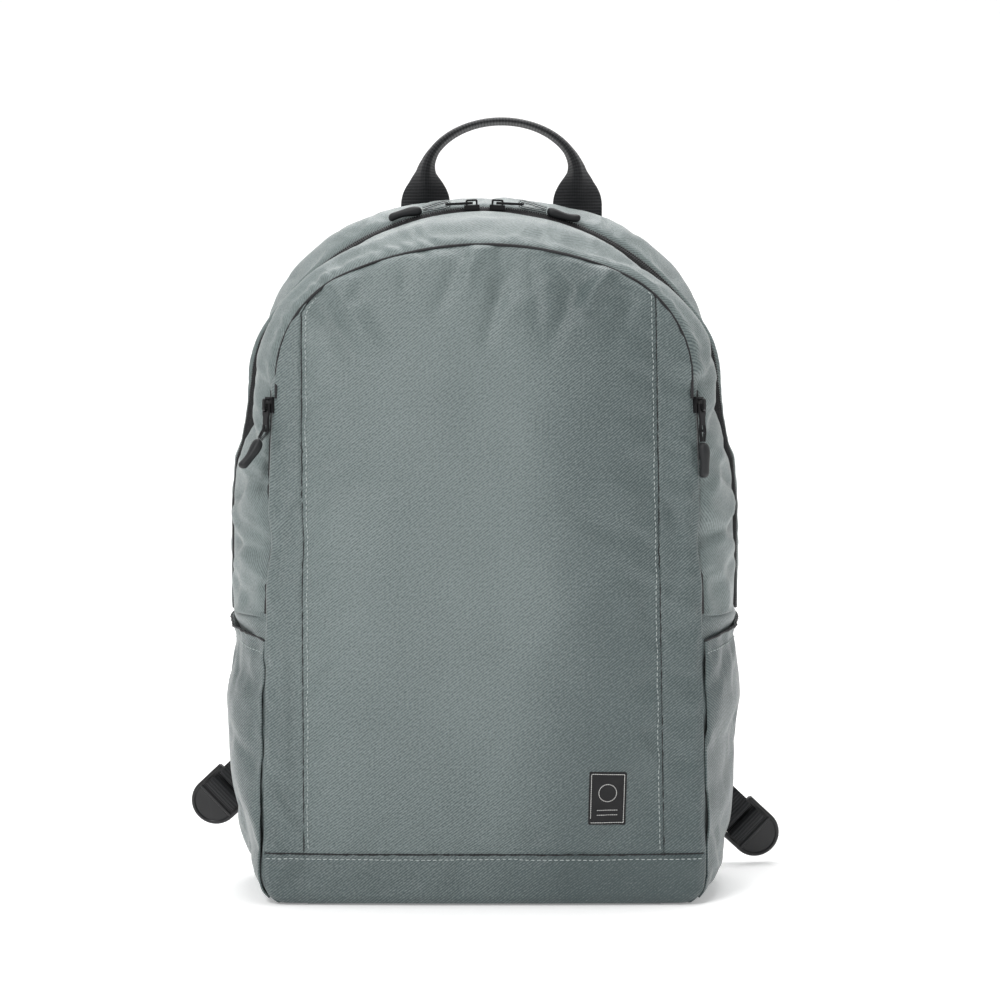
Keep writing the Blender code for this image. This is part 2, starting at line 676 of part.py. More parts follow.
def ladder_buckle(side):
    """Ladder lock: a sewn bar, a middle bar, and a rounded lip to lift."""
    half = 0.0155
    lip = [(0.020 + 0.016 * math.sin(a), half * math.cos(a) if a else half)
           for a in [math.pi * k / 14 for k in range(15)]]
    outline = [(-0.0015, half), *lip, (-0.0015, -half)]
    slots = [[(low, -0.0127), (low, 0.0127), (high, 0.0127), (high, -0.0127)]
             for low, high in ((0.0015, 0.008), (0.011, 0.017))]
    flat_outline(f"ladder_buckle_{side}", [outline, *slots], BUCKLE_THICK, PLASTIC, buckle_frame(side))


def strap_tab(side):
    """The cloth tab sewn into the back seam, narrowing to the loop round the buckle's sewn bar."""
    frame = buckle_frame(side)
    sign = SIDES[side]
    root = Vector((sign * 0.1395, 0.0768, BUCKLE_HEIGHT[side] + 0.021))
    local = [(-0.012, 0.0021), (-0.006, 0.0022), (-0.0026, 0.0026), (0.0, 0.0031), (0.0023, 0.0021),
             (0.0031, 0.0), (0.0023, -0.0021), (0.0, -0.0031), (-0.0026, -0.0026), (-0.006, -0.0022),
             (-0.010, -0.0021)]
    loop = [frame @ Vector((x, 0, z)) for x, z in local]
    path = [root, root.lerp(loop[0], 0.33), root.lerp(loop[0], 0.66), *loop]
    bar = frame.to_3x3() @ Vector((0, 1, 0))
    if bar.z < 0:
        bar = -bar
    upward = Vector((0, 0, 1))

    def across(share):
        return upward.lerp(bar, min(share * 3.6, 1))

    def width(share):
        return 0.046 + (WEBBING_WIDTH - 0.046) * min(share * 3.6, 1)

    ribbon(f"strap_tab_{side}", path, width, 0.0012, across, WEBBING)


def strap_webbing(side):
    """Adjuster webbing: sewn to the pad's foot, over the buckle's middle bar, its tail turned back."""
    frame = buckle_frame(side)
    local = [(-0.034, -0.0150), (-0.020, -0.0126), (-0.006, -0.0102), (0.006, -0.0082), (0.0115, -0.0064),
             (0.0139, -0.0034), (0.0136, 0.0), (0.0122, 0.0023), (0.0095, 0.0029), (0.0069, 0.0023),
             (0.0059, 0.0), (0.0052, -0.0028), (0.0022, -0.0048), (-0.004, -0.0055), (-0.016, -0.0068)]
    near = [frame @ Vector((x, 0, z)) for x, z in local]
    pad_end = mirrored((0.0925, 0.0985, 0.1235), side)
    heading = (pad_end - mirrored((0.082, 0.0998, 0.136), side)).normalized()
    far = smooth_path([near[-1], near[-1].lerp(pad_end, 0.35), near[-1].lerp(pad_end, 0.7),
                       pad_end + heading * 0.002], 9)[1:]
    bar = frame.to_3x3() @ Vector((0, 1, 0))
    pad_across = Vector((0, 1, 0)).cross(heading)
    if pad_across.dot(bar) < 0:
        pad_across = -pad_across

    def across(share):
        return bar.lerp(pad_across, min(max((share - 0.65) / 0.35, 0), 1))

    ribbon(f"strap_webbing_{side}", near + far, WEBBING_WIDTH, WEBBING_THICK, across, WEBBING)


def back_pads():
    for side, sign in SIDES.items():
        low, high = sorted((sign * 0.010, sign * 0.104))
        rounded_box(f"back_pad_{side}", (low, BACK_Y + BACK_FOAM + 2 * GAP, 0.062), (high, PAD_BACK_Y, 0.372),
                    0.004, MESH_CLOTH)
    rounded_box("strap_yoke", (-0.072, BACK_Y + BACK_FOAM + 2 * GAP, 0.384), (0.072, 0.0785, 0.4305), 0.002,
                WEBBING)


def woven_label():
    """A small woven label, sewn flat on the front near its right foot."""
    centre = front_surface(0.076, 0.069, 0.0009)
    right = front_surface(0.086, 0.069) - front_surface(0.066, 0.069)
    above = front_surface(0.076, 0.081) - front_surface(0.076, 0.057)
    x_dir = right.normalized()
    out = x_dir.cross(above).normalized()
    if out.y > 0:
        out = -out
    matrix = Matrix((x_dir, out.cross(x_dir), out)).transposed().to_4x4()
    matrix.translation = centre
    half_w, half_h = 0.0118, 0.0168
    flat_outline("woven_label", [[(-half_w, -half_h), (half_w, -half_h), (half_w, half_h), (-half_w, half_h)]],
                 0.0007, LABEL, matrix)


# ---------------------------------------------------------------- assembly


def main():
    base_panel()
    front_panels()
    front_pocket_divider()
    front_piping()
    gusset("front_gusset", [-0.895, -0.78, -0.6, -0.35, -0.085])
    gusset("rear_gusset", [0.080, 0.35, 0.65, 0.87, 0.99])
    main_zip()
    back_panel()
    laptop_sleeve()
    back_pads()
    woven_label()
    grab_handle()
    for side in SIDES:
        side_panel(side)
        side_pocket(side)
        pocket_zip(side)
        zip_pull(f"main_zip_{side}", main_zip_frame(side), MAIN_CORD_PITCH)
        zip_pull(f"pocket_zip_{side}", pocket_zip_frame(side, POCKET_SLIDER_Z), POCKET_CORD_PITCH[side])
        strap_pad(side)
        ladder_buckle(side)
        strap_tab(side)
        strap_webbing(side)


main()
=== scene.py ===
"""Looks of the daypack: cloth panels simulated between their seams, zips, webbing, pads and a studio.

The walls follow the same arches as the frame: depth -1 is the front seam, 0 the main zip, +1 the back seam.
"""

import math

import bmesh
import bpy
import numpy as np
from mathutils import Matrix, Vector, noise


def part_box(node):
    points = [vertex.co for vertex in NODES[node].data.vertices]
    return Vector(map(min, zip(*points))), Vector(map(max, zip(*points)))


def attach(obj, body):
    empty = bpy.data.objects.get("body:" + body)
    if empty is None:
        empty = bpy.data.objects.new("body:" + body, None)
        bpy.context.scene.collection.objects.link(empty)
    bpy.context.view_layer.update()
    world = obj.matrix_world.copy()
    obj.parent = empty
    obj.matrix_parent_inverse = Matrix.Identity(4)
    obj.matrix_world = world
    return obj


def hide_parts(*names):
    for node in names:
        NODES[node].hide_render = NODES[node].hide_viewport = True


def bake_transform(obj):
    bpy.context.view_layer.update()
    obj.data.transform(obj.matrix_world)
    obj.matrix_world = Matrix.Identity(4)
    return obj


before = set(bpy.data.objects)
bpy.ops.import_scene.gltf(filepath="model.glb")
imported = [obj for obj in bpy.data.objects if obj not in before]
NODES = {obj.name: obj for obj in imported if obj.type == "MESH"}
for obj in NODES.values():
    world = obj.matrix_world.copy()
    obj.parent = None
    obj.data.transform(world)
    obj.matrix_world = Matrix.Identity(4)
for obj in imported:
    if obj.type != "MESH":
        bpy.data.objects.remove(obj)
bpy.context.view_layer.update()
SIDES = {"left": -1, "right": 1}

# ---------------------------------------------------------------- sizes shared with the frame

GAP = 0.0003
CLOTH = 0.002
WALL_FOOT = 0.0043
ZIP_Y, BACK_Y = 0.005, 0.068
FRONT_FOOT_Y, FRONT_LEAN, FRONT_TOP = -0.073, 0.010, 0.417
ZIP_RADIUS, ZIP_TOP = 0.168, 0.442
SIDE_SEAM_Z = 0.182
BAND_TOP = 0.033
FRONT_DOME = 0.009
STRIP_FOOT_X, STRIP_TOP_X, STRIP_TOP_Z = 0.115, 0.105, 0.376
SIDE_HEIGHTS = (0.308, 0.250, 0.182, 0.165, 0.120, 0.060, 0.020, 0.004)
SIDE_OFFSETS = {
    -1: (0.000, 0.002, 0.004, 0.0045, 0.0055, 0.007, 0.008, 0.006),
    0: (0.000, 0.005, 0.005, -0.004, -0.006, -0.010, -0.014, -0.018),
    1: (0.000, 0.001, 0.001, 0.001, 0.000, -0.001, -0.003, -0.005),
}
POCKET_MOUTH_FRONT, POCKET_MOUTH_REAR = 0.167, 0.179
POCKET_SWELL = 0.0100
PANEL_SINK = 0.0055
FOOT_ROUND = 0.013
CREASE_WIDTH, CREASE_DEPTH = 0.80, 2.3
FORWARD, BACKWARD = Vector((0, -1, 0)), Vector((0, 1, 0))
DIP_ANGLES = (0, 25, 45, 62, 80, 90)
DIPS = {
    -1: (0.0020, 0.0034, 0.0074, 0.0100, 0.0088, 0.0008),
    1: (0.0020, 0.0038, 0.0092, 0.0108, 0.0080, 0.0022),
}


def clamp(value):
    return min(max(value, 0), 1)


def bell(distance, width):
    """1 at no distance, falling to nothing over about twice the width."""
    return math.exp(-(distance / width) ** 2)


def cloudy(x, y, z):
    """Smooth noise, about -1 to 1."""
    return noise.noise(Vector((x, y, z)))


def front_y(z):
    return FRONT_FOOT_Y + FRONT_LEAN * (max(z, 0) / FRONT_TOP) ** 2


def depth_y(depth, z):
    if depth < 0:
        return ZIP_Y - depth * (front_y(z) - ZIP_Y)
    return ZIP_Y + depth * (BACK_Y - ZIP_Y)


def arch_sizes(depth):
    """Half width, top, crown radius and crown half angle of the arch at that depth."""
    if depth < 0:
        e = -depth
        return (0.159 - 0.028 * e ** 2.2, ZIP_TOP - 0.025 * e ** 2,
                ZIP_RADIUS + 0.047 * e, math.radians(60 - 36 * e))
    return (0.159 + 0.006 * depth - 0.022 * depth ** 3, ZIP_TOP + 0.018 * depth - 0.022 * depth ** 3,
            ZIP_RADIUS + 0.072 * depth, math.radians(60 - 34 * depth))


def side_offset(depth, z):
    """How far the side wall stands outside the arch's half width."""
    heights = SIDE_HEIGHTS[::-1]
    middle = float(np.interp(z, heights, SIDE_OFFSETS[0][::-1]))
    end = float(np.interp(z, heights, SIDE_OFFSETS[-1 if depth < 0 else 1][::-1]))
    return middle + (end - middle) * abs(depth) ** 1.6


def upper_half(depth):
    """Dense (x, z) points of the right half of the arch at that depth, from its top down to the side seam."""
    half, top, radius, angle = arch_sizes(depth)
    shoulder = (half - radius * math.sin(angle)) / (1 - math.sin(angle))
    centre = (radius - shoulder) * math.sin(angle), top - radius + (radius - shoulder) * math.cos(angle)
    points = [(radius * math.sin(a), top - radius + radius * math.cos(a)) for a in np.linspace(0, angle, 40)]
    points += [(centre[0] + shoulder * math.sin(a), centre[1] + shoulder * math.cos(a))
               for a in np.linspace(angle, math.pi / 2, 24)[1:]]
    for z in np.linspace(centre[1], SIDE_SEAM_Z, 24)[1:]:
        points.append((half + side_offset(depth, min(z, SIDE_HEIGHTS[0])), z))
    return np.array(points)


SHOULDER_HEIGHTS = (0.280, 0.290, 0.304, 0.317, 0.330, 0.343, 0.357, 0.370, 0.383, 0.3965, 0.407, 0.420,
                    0.440)
SHOULDER_REAR = (0, .0030, .0044, .0062, .0092, .0112, .0138, .0152, .0148, .0118, .0066, .0010, 0)
SHOULDER_ZIP = (0, .0028, .0042, .0055, .0052, .0030, .0008, 0, 0, 0, 0, 0, 0)


def drawn_in(p):
    """The soft shoulders sit further in than the frame's, most of all between the zip and the back."""
    rear = float(np.interp(p.z, SHOULDER_HEIGHTS, SHOULDER_REAR))
    middle = float(np.interp(p.z, SHOULDER_HEIGHTS, SHOULDER_ZIP))
    behind = float(np.interp(p.y, (0.009, 0.024, 0.044, 0.066), (0, 1, 1, 0)))
    ahead = float(np.interp(p.y, (-0.062, -0.012, 0.044, 0.066), (0, 1, 1, 0)))
    shift = (middle * ahead * (1 - behind) + rear * behind) * min(abs(p.x) / 0.08, 1)
    rise = 0.0038 * behind * bell(abs(p.x) - 0.082, 0.030)
    return Vector((p.x - math.copysign(shift, p.x), p.y, p.z + rise * (p.z > 0.35)))


def zip_dip(x, z):
    """How much lower the front gusset's zip edge lies than the rear one's."""
    angle = math.degrees(math.atan2(abs(x), z - 0.274))
    return float(np.interp(angle, DIP_ANGLES, DIPS[1 if x > 0 else -1]))


ARCHES = {}


def arch_half(depth):
    key = round(depth, 5)
    if key not in ARCHES:
        ARCHES[key] = upper_half(depth)
    return ARCHES[key]


def half_width(depth, z):
    """Half the body's width at that depth and height, before the shoulders are drawn in."""
    if z <= SIDE_SEAM_Z:
        short = max(FOOT_ROUND - z, 0)
        rounding = FOOT_ROUND - math.sqrt(FOOT_ROUND ** 2 - short ** 2)
        return arch_sizes(depth)[0] + side_offset(depth, z) - rounding
    points = arch_half(depth)[::-1]
    return float(np.interp(z, points[:, 1], points[:, 0]))


def height_at(depth, x):
    points = arch_half(depth)
    arch = points[:64]
    return float(np.interp(abs(x), arch[:, 0], arch[:, 1]))


def arch_row(depth, count, lift=0.0):
    """count points evenly along the whole arch at that depth, from the left side seam to the right one."""
    right = arch_half(depth)
    plane = np.concatenate([right[:0:-1] * (-1, 1), right])
    run = np.gradient(plane, axis=0)
    run /= np.linalg.norm(run, axis=1)[:, None]
    if callable(lift):
        lift = np.array([lift(x, z) for x, z in plane])[:, None]
    plane = plane + np.stack([-run[:, 1], run[:, 0]], axis=1) * lift
    along = running(np.linalg.norm(np.diff(plane, axis=0), axis=1))
    at = np.linspace(0, along[-1], count)
    xs, zs = np.interp(at, along, plane[:, 0]), np.interp(at, along, plane[:, 1])
    return [drawn_in(Vector((x, depth_y(depth, z), z))) for x, z in zip(xs, zs)]


def front_surface(x, z):
    """The domed front before its cloth settles."""
    across = 1 - min(abs(x) / max(half_width(-1, z), 0.001), 1) ** 2.5
    up = 1 - min(abs(z - 0.2) / 0.217, 1) ** 4
    return Vector((x, front_y(z) - GAP - CLOTH - FRONT_DOME * across * up, z))


def strip_x(z):
    """Where the topstitched seam of the right side strip runs."""
    share = (z - BAND_TOP) / (STRIP_TOP_Z - BAND_TOP)
    return STRIP_FOOT_X + (STRIP_TOP_X - STRIP_FOOT_X) * share


# ---------------------------------------------------------------- materials


class Graph:
    """A small builder of shader nodes."""

    def __init__(self, name, color, roughness, metallic=0.0):
        self.material = bpy.data.materials.new(name)
        self.material.use_nodes = True
        self.tree = self.material.node_tree
        self.shader = self.tree.nodes["Principled BSDF"]
        self.shader.inputs["Base Color"].default_value = (*color, 1)
        self.shader.inputs["Roughness"].default_value = roughness
        self.shader.inputs["Metallic"].default_value = metallic

    def node(self, kind, links=None, **settings):
        made = self.tree.nodes.new(kind)
        for key, value in settings.items():
            setattr(made, key, value)
        for key, value in (links or {}).items():
            if hasattr(value, "is_output"):
                self.tree.links.new(value, made.inputs[key])
            else:
                made.inputs[key].default_value = value
        return made

    def math(self, operation, a, b):
        return self.node("ShaderNodeMath", {0: a, 1: b}, operation=operation).outputs[0]

    def coordinates(self, use_uv, scale=1.0, turn=0.0):
        kind = self.node("ShaderNodeTexCoord")
        source = kind.outputs["UV" if use_uv else "Object"]
        mapped = self.node("ShaderNodeMapping", {"Vector": source})
        mapped.inputs["Scale"].default_value = (scale, scale, scale)
        mapped.inputs["Rotation"].default_value = (0, 0, turn)
        return mapped.outputs[0]

    def noise(self, vector, scale, detail=3.0):
        made = self.node("ShaderNodeTexNoise", {"Vector": vector, "Scale": scale, "Detail": detail})
        return made.outputs["Fac"]

    def bands(self, vector, period, direction="X"):
        made = self.node("ShaderNodeTexWave", {"Vector": vector, "Scale": 2 * math.pi / (20 * period)},
                         bands_direction=direction)
        return made.outputs["Fac"]

    def blend_color(self, factor, dark, light):
        ramp = self.node("ShaderNodeMix", {"Factor": factor}, data_type="RGBA")
        ramp.inputs[6].default_value = (*dark, 1)
        ramp.inputs[7].default_value = (*light, 1)
        self.tree.links.new(ramp.outputs[2], self.shader.inputs["Base Color"])

    def rough(self, factor, low, high):
        made = self.node("ShaderNodeMapRange", {"Value": factor, "To Min": low, "To Max": high})
        self.tree.links.new(made.outputs[0], self.shader.inputs["Roughness"])

    def bump(self, height, distance, strength=1.0):
        made = self.node("ShaderNodeBump", {"Height": height, "Distance": distance, "Strength": strength})
        self.tree.links.new(made.outputs[0], self.shader.inputs["Normal"])


def twill(name, dark, light, period=0.00145, relief=0.00016, sheen=0.2, with_painted_shade=False):
    """Coated twill: diagonal ribs, thread-scale grain, a slow cloudy change of tone, and painted shade and
    painted light by place when with_painted_shade is set.
    """
    g = Graph(name, light, 0.45)
    diagonal = g.coordinates(True, 1, math.radians(52))
    wobble = g.noise(g.coordinates(True), 640, 2)
    ribs = g.bands(diagonal, period)
    threads = g.bands(g.coordinates(True), period * 0.42, "Y")
    cloud = g.noise(g.coordinates(False), 16, 4)
    weave = g.math("ADD", g.math("MULTIPLY", ribs, 0.66), g.math("MULTIPLY", threads, 0.30))
    weave = g.math("SUBTRACT", g.math("ADD", weave, g.math("MULTIPLY", wobble, 1.3)), 0.555)
    tone = g.math("ADD", g.math("MULTIPLY", weave, 0.95), g.math("MULTIPLY", cloud, 0.26))
    # Painted shade and painted light, laid into the colour by place on the pack.
    if with_painted_shade:
        tone = g.math("SUBTRACT", tone, painted_shade(g))
    g.blend_color(tone, dark, light)
    g.rough(weave, 0.5, 0.36)
    g.bump(weave, relief)
    g.shader.inputs["Sheen Weight"].default_value = sheen
    g.shader.inputs["Sheen Roughness"].default_value = 0.35
    g.shader.inputs["Specular IOR Level"].default_value = 0.55
    return g.material


def painted_shade(g):
    """Painted shade: how much darker the cloth is coloured where less light falls on it.

    That is the front's right side and lower part, the band, the left strip, the side pockets and a painted
    contact shadow along the foot. The other side walls, the gussets and the back are coloured a little
    lighter, as painted light."""
    place = g.node("ShaderNodeSeparateXYZ", {0: g.coordinates(False)})
    x, y, z = place.outputs
    drift = g.math("MULTIPLY", g.noise(g.coordinates(False), 9, 3), 0.09)

    def ramp(value, start, stop, low, high, **kind):
        limits = {"Value": value, "From Min": start, "From Max": stop, "To Min": low, "To Max": high}
        return g.node("ShaderNodeMapRange", limits, **kind).outputs[0]

    # Painted shade: the front darker towards its right side and its bottom, as if lit from the upper left.
    right = ramp(g.math("ADD", x, drift), 0.05, 0.12, 0.0, 0.38, interpolation_type="SMOOTHSTEP")
    low = ramp(g.math("ADD", z, drift), 0.25, 0.06, 0.0, 0.17, interpolation_type="SMOOTHSTEP")
    # Painted shade on the bottom band and on the left strip, which turns away from the light.
    band = ramp(z, 0.0335, 0.0325, 0.0, 0.17)
    strip = ramp(x, -0.110, -0.120, 0.0, 0.14)
    front = ramp(y, -0.060, -0.070, 0.0, 1.0)
    # Painted shade on the side pockets, the right one darker than the left.
    pocket = ramp(x, -0.05, 0.05, 0.45, 0.62)
    lower = g.math("MULTIPLY", ramp(z, 0.190, 0.170, 0.0, 1.0),
                   ramp(g.math("ABSOLUTE", x, 0.0), 0.130, 0.141, 0.0, 1.0))
    # Painted contact shadow: the lowest few millimetres darker where the pack stands on the floor.
    foot = ramp(z, 0.008, 0.001, 0.0, 0.22)
    face = g.math("ADD", g.math("ADD", right, low), g.math("ADD", band, strip))
    # The -0.08 is painted light on the side walls, gussets and back; the pockets keep their painted shade.
    side = g.math("SUBTRACT", g.math("MULTIPLY", lower, pocket), 0.08)
    mixed = g.math("ADD", g.math("MULTIPLY", face, front),
                   g.math("MULTIPLY", side, g.math("SUBTRACT", 1.0, front)))
    return g.math("ADD", mixed, foot)


def ribbed(name, dark, light, period, across=0.0, use_uv=True, relief=0.00025, roughness=(0.75, 0.55)):
    """Woven tape or webbing: ribs across its length and fine threads along it."""
    g = Graph(name, light, roughness[0])
    ribs = g.bands(g.coordinates(use_uv, 1, across), period, "Y")
    threads = g.bands(g.coordinates(use_uv, 1, across), period * 0.55, "X")
    grain = g.noise(g.coordinates(use_uv), 900, 2)
    weave = g.math("ADD", g.math("MULTIPLY", ribs, 0.55), g.math("MULTIPLY", threads, 0.25))
    weave = g.math("ADD", weave, g.math("MULTIPLY", grain, 0.3))
    g.blend_color(weave, dark, light)
    g.rough(weave, *roughness)
    g.bump(weave, relief)
    g.shader.inputs["Sheen Weight"].default_value = 0.04
    g.shader.inputs["Specular IOR Level"].default_value = 0.3
    return g.material


def spacer_mesh(name, dark, light):
    """Open three-layer mesh: rows of small round holes."""
    g = Graph(name, light, 0.85)
    settings = {"Vector": g.coordinates(True), "Scale": 420.0, "Randomness": 0.15}
    holes = g.node("ShaderNodeTexVoronoi", settings)
    cells = g.math("MULTIPLY", holes.outputs["Distance"], 1.6)
    grain = g.math("MULTIPLY", g.noise(g.coordinates(True), 1500, 2), 0.3)
    tone = g.math("ADD", cells, grain)
    g.blend_color(tone, dark, light)
    g.rough(tone, 0.95, 0.7)
    g.bump(tone, 0.0005)
    g.shader.inputs["Sheen Weight"].default_value = 0.2
    return g.material


def moulded(name, dark, light, roughness, metallic=0.0, grain=900, relief=0.00003, coat=0.0):
    """Moulded plastic, rubber or lacquered metal: fine grain, and slightly rubbed patches."""
    g = Graph(name, light, roughness[0], metallic)
    where = g.coordinates(False)
    fine, patches = g.noise(where, grain, 4), g.noise(where, 90, 3)
    g.blend_color(patches, dark, light)
    g.rough(patches, *roughness)
    g.bump(fine, relief)
    g.shader.inputs["Coat Weight"].default_value = coat
    g.shader.inputs["Specular IOR Level"].default_value = 0.35
    return g.material


# The shell's colour carries painted shade and painted light by place, from the function above.
SHELL = twill("twill", (0.048, 0.070, 0.072), (0.204, 0.246, 0.242), with_painted_shade=True)
LINING = twill("lining", (0.05, 0.055, 0.056), (0.09, 0.098, 0.1), 0.0009, 0.00006, 0.1)
THREAD = ribbed("thread", (0.30, 0.34, 0.34), (0.50, 0.55, 0.54), 0.0006, 0, False, 0.00005)
# Black thread for the strap stitches, and the colour of the painted shadow lines along the seams.
BLACK_THREAD_AND_SEAM_SHADOW = ribbed("black_thread_and_seam_shadow", (0.012, 0.012, 0.013), (0.03, 0.03, 0.032), 0.0006, 0, False, 0.00005)
TAPE = ribbed("zip_tape", (0.008, 0.008, 0.009), (0.026, 0.025, 0.026), 0.0011, 0, True, 0.0002)
COIL = moulded("zip_coil", (0.006, 0.006, 0.007), (0.02, 0.02, 0.021), (0.35, 0.5))
WEB = ribbed("webbing", (0.004, 0.004, 0.005), (0.021, 0.022, 0.024), 0.0021, 0, True, 0.0004)
BINDING = ribbed("binding", (0.007, 0.007, 0.008), (0.03, 0.03, 0.032), 0.0010, 0, True, 0.0002)
MESH_CLOTH = spacer_mesh("spacer_mesh", (0.004, 0.004, 0.005), (0.035, 0.036, 0.038))
PLASTIC = moulded("buckle_plastic", (0.008, 0.008, 0.009), (0.018, 0.018, 0.019), (0.28, 0.42), coat=0.1)
RUBBER = moulded("pull_rubber", (0.012, 0.013, 0.014), (0.024, 0.025, 0.027), (0.42, 0.6), 0, 700, 0.00004)
METAL = moulded("slider_metal", (0.008, 0.008, 0.009), (0.018, 0.018, 0.019), (0.34, 0.5), 0.5, 900, 0.00001,
                0.15)
CORD = ribbed("pull_cord", (0.004, 0.004, 0.005), (0.020, 0.020, 0.022), 0.0009, 0.9, False, 0.0002)
LABEL_CLOTH = ribbed("label_cloth", (0.006, 0.006, 0.007), (0.018, 0.018, 0.019), 0.0005, 0, True, 0.00006)
LABEL_THREAD = ribbed("label_thread", (0.45, 0.45, 0.44), (0.75, 0.75, 0.73), 0.0005, 0, False, 0.00005)

# ---------------------------------------------------------------- mesh helpers


def new_object(name, mesh, material):
    obj = bpy.data.objects.new(name, mesh)
    bpy.context.scene.collection.objects.link(obj)
    if not obj.data.materials:
        obj.data.materials.append(material)
    return obj


def declare(obj, body, slot, *nodes):
    """The finished piece rides on body and stands for the nodes; slot is not used."""
    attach(obj, body)
    if nodes:
        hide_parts(*nodes)
    return obj


def skin_piece(name, rings, material, body, slot, *nodes):
    """A piece whose skin goes through rings of points."""
    return declare(new_object(name, tube_mesh(name, rings), material), body, slot, *nodes)


def smoothed(obj):
    smooth = obj.modifiers.new("smooth", "SUBSURF")
    smooth.levels = smooth.render_levels = 1


def fuller(obj, amount):
    """Swells a piece by amount all round."""
    swell = obj.modifiers.new("fuller", "DISPLACE")
    swell.strength, swell.mid_level = amount, 0


def running(lengths):
    """Distances from the start, given the lengths between neighbours."""
    return np.concatenate([[0], np.cumsum(lengths)])


def full_turn(count):
    return np.linspace(0, 2 * math.pi, count + 1)[:-1]


def ring(centre, side, up, wide, high, count):
    """An ellipse of points round centre, with its half width and half height."""
    return [centre + side * (wide * math.cos(a)) + up * (high * math.sin(a)) for a in full_turn(count)]


def uvs_from(mesh, place):
    """UVs in metres, from each vertex's position."""
    layer = mesh.uv_layers.new(name="UVMap")
    for corner in mesh.loops:
        layer.data[corner.index].uv = place(mesh.vertices[corner.vertex_index].co)


def grid_mesh(name, rows, outward, uvs=None):
    """An open sheet of quads through rows of points, facing outward, with UVs in metres unless given."""
    count = len(rows[0])
    points = np.array([[tuple(p) for p in row] for row in rows])
    if uvs is None:
        across = np.linalg.norm(np.diff(points, axis=1), axis=2).mean(axis=0)
        down = np.linalg.norm(np.diff(points, axis=0), axis=2).mean(axis=1)
        uvs = np.stack(np.meshgrid(running(across), running(down)), axis=2)
    faces = []
    for i in range(len(rows) - 1):
        for j in range(count - 1):
            a = i * count + j
            faces.append((a, a + 1, a + count + 1, a + count))
    flat = points.reshape(-1, 3)
    middle = faces[len(faces) // 2 + count // 2]
    a, b, c = (Vector(flat[k]) for k in middle[:3])
    if (b - a).cross(c - a).dot(outward((a + c) / 2)) < 0:
        faces = [f[::-1] for f in faces]
    mesh = bpy.data.meshes.new(name)
    mesh.from_pydata([tuple(p) for p in flat], [], faces)
    layer = mesh.uv_layers.new(name="UVMap")
    table = np.asarray(uvs).reshape(-1, 2)
    for loop in mesh.loops:
        layer.data[loop.index].uv = table[loop.vertex_index]
    mesh.shade_smooth()
    return mesh


def coordinates_of(mesh):
    got = np.empty(len(mesh.vertices) * 3)
    mesh.vertices.foreach_get("co", got)
    return got.reshape(-1, 3)


def move_to(mesh, points):
    mesh.vertices.foreach_set("co", np.ascontiguousarray(points, float).ravel())
    mesh.update()


def normals_of(mesh):
    return np.array([tuple(v.normal) for v in mesh.vertices])


def simulate(obj, held, pressure, grow, cap, frames=16, bending=0.6):
    """Lets cloth cut a little too large for its seams settle under air pressure, then keeps the result.

    held is how firmly each vertex is sewn, from 0 to 1, and cap is how far any point may move."""
    before = coordinates_of(obj.data)
    scatter = np.array([noise.noise(Vector(p) * 55) + 0.5 * noise.noise(Vector(p) * 140) for p in before])
    start = before + normals_of(obj.data) * (scatter * 0.0006 * (1 - held))[:, None]
    move_to(obj.data, start)
    group = obj.vertex_groups.new(name="sewn")
    for i, weight in enumerate(held):
        if weight > 0:
            group.add([i], float(weight), "REPLACE")
    cloth = obj.modifiers.new("cloth", "CLOTH")
    settings = cloth.settings
    settings.quality = 6
    settings.mass = 0.12
    settings.air_damping = 3
    settings.tension_stiffness = 25
    settings.compression_stiffness = 25
    settings.shear_stiffness = 12
    settings.bending_stiffness = bending
    settings.tension_damping = 15
    settings.compression_damping = 15
    settings.shear_damping = 10
    settings.vertex_group_mass = "sewn"
    settings.use_pressure = True
    settings.uniform_pressure_force = pressure
    settings.shrink_min = settings.shrink_max = -grow
    settings.effector_weights.gravity = 0
    cloth.collision_settings.use_collision = False
    cloth.point_cache.frame_end = frames
    scene = bpy.context.scene
    for f in range(1, frames + 1):
        scene.frame_set(f)
    graph = bpy.context.evaluated_depsgraph_get()
    after = coordinates_of(obj.evaluated_get(graph).data)
    obj.modifiers.remove(cloth)
    obj.vertex_groups.clear()
    scene.frame_set(1)
    step = after - before
    size = np.linalg.norm(step, axis=1)
    step *= (np.minimum(size, cap) / np.maximum(size, 1e-9))[:, None]
    move_to(obj.data, before + np.nan_to_num(step))


def thicken(obj, thickness, finer=True):
    if finer:
        smoothed(obj)
        obj.modifiers["smooth"].uv_smooth = "PRESERVE_BOUNDARIES"
    wall = obj.modifiers.new("wall", "SOLIDIFY")
    wall.thickness = thickness
    wall.offset = -1


def displaced(obj, amount):
    """Moves each vertex along its normal by amount(point), in metres."""
    points, normals = coordinates_of(obj.data), normals_of(obj.data)
    move_to(obj.data, points + normals * np.array([amount(p) for p in points])[:, None])


def crease(a, b, width, depth):
    """A valley (depth < 0) or ridge from a to b in the (x, z) plane, fading at both ends."""
    width, depth = width * CREASE_WIDTH, depth * CREASE_DEPTH
    a, b = np.array(a), np.array(b)
    along = b - a

    def at(x, z):
        t = np.dot((x, z) - a, along) / np.dot(along, along)
        near = a + along * clamp(t)
        distance = math.hypot(x - near[0], z - near[1])
        fade = math.sin(math.pi * min(max(t, 0.02), 0.98)) ** 0.5
        return depth * fade * bell(distance, width)

    return at


def ruffle(s, seed=0.0):
    """Uneven ripple along a seam, about -1 to 1."""
    return cloudy(s * 130, seed, 0) + 0.6 * cloudy(s * 290, seed + 9, 0)


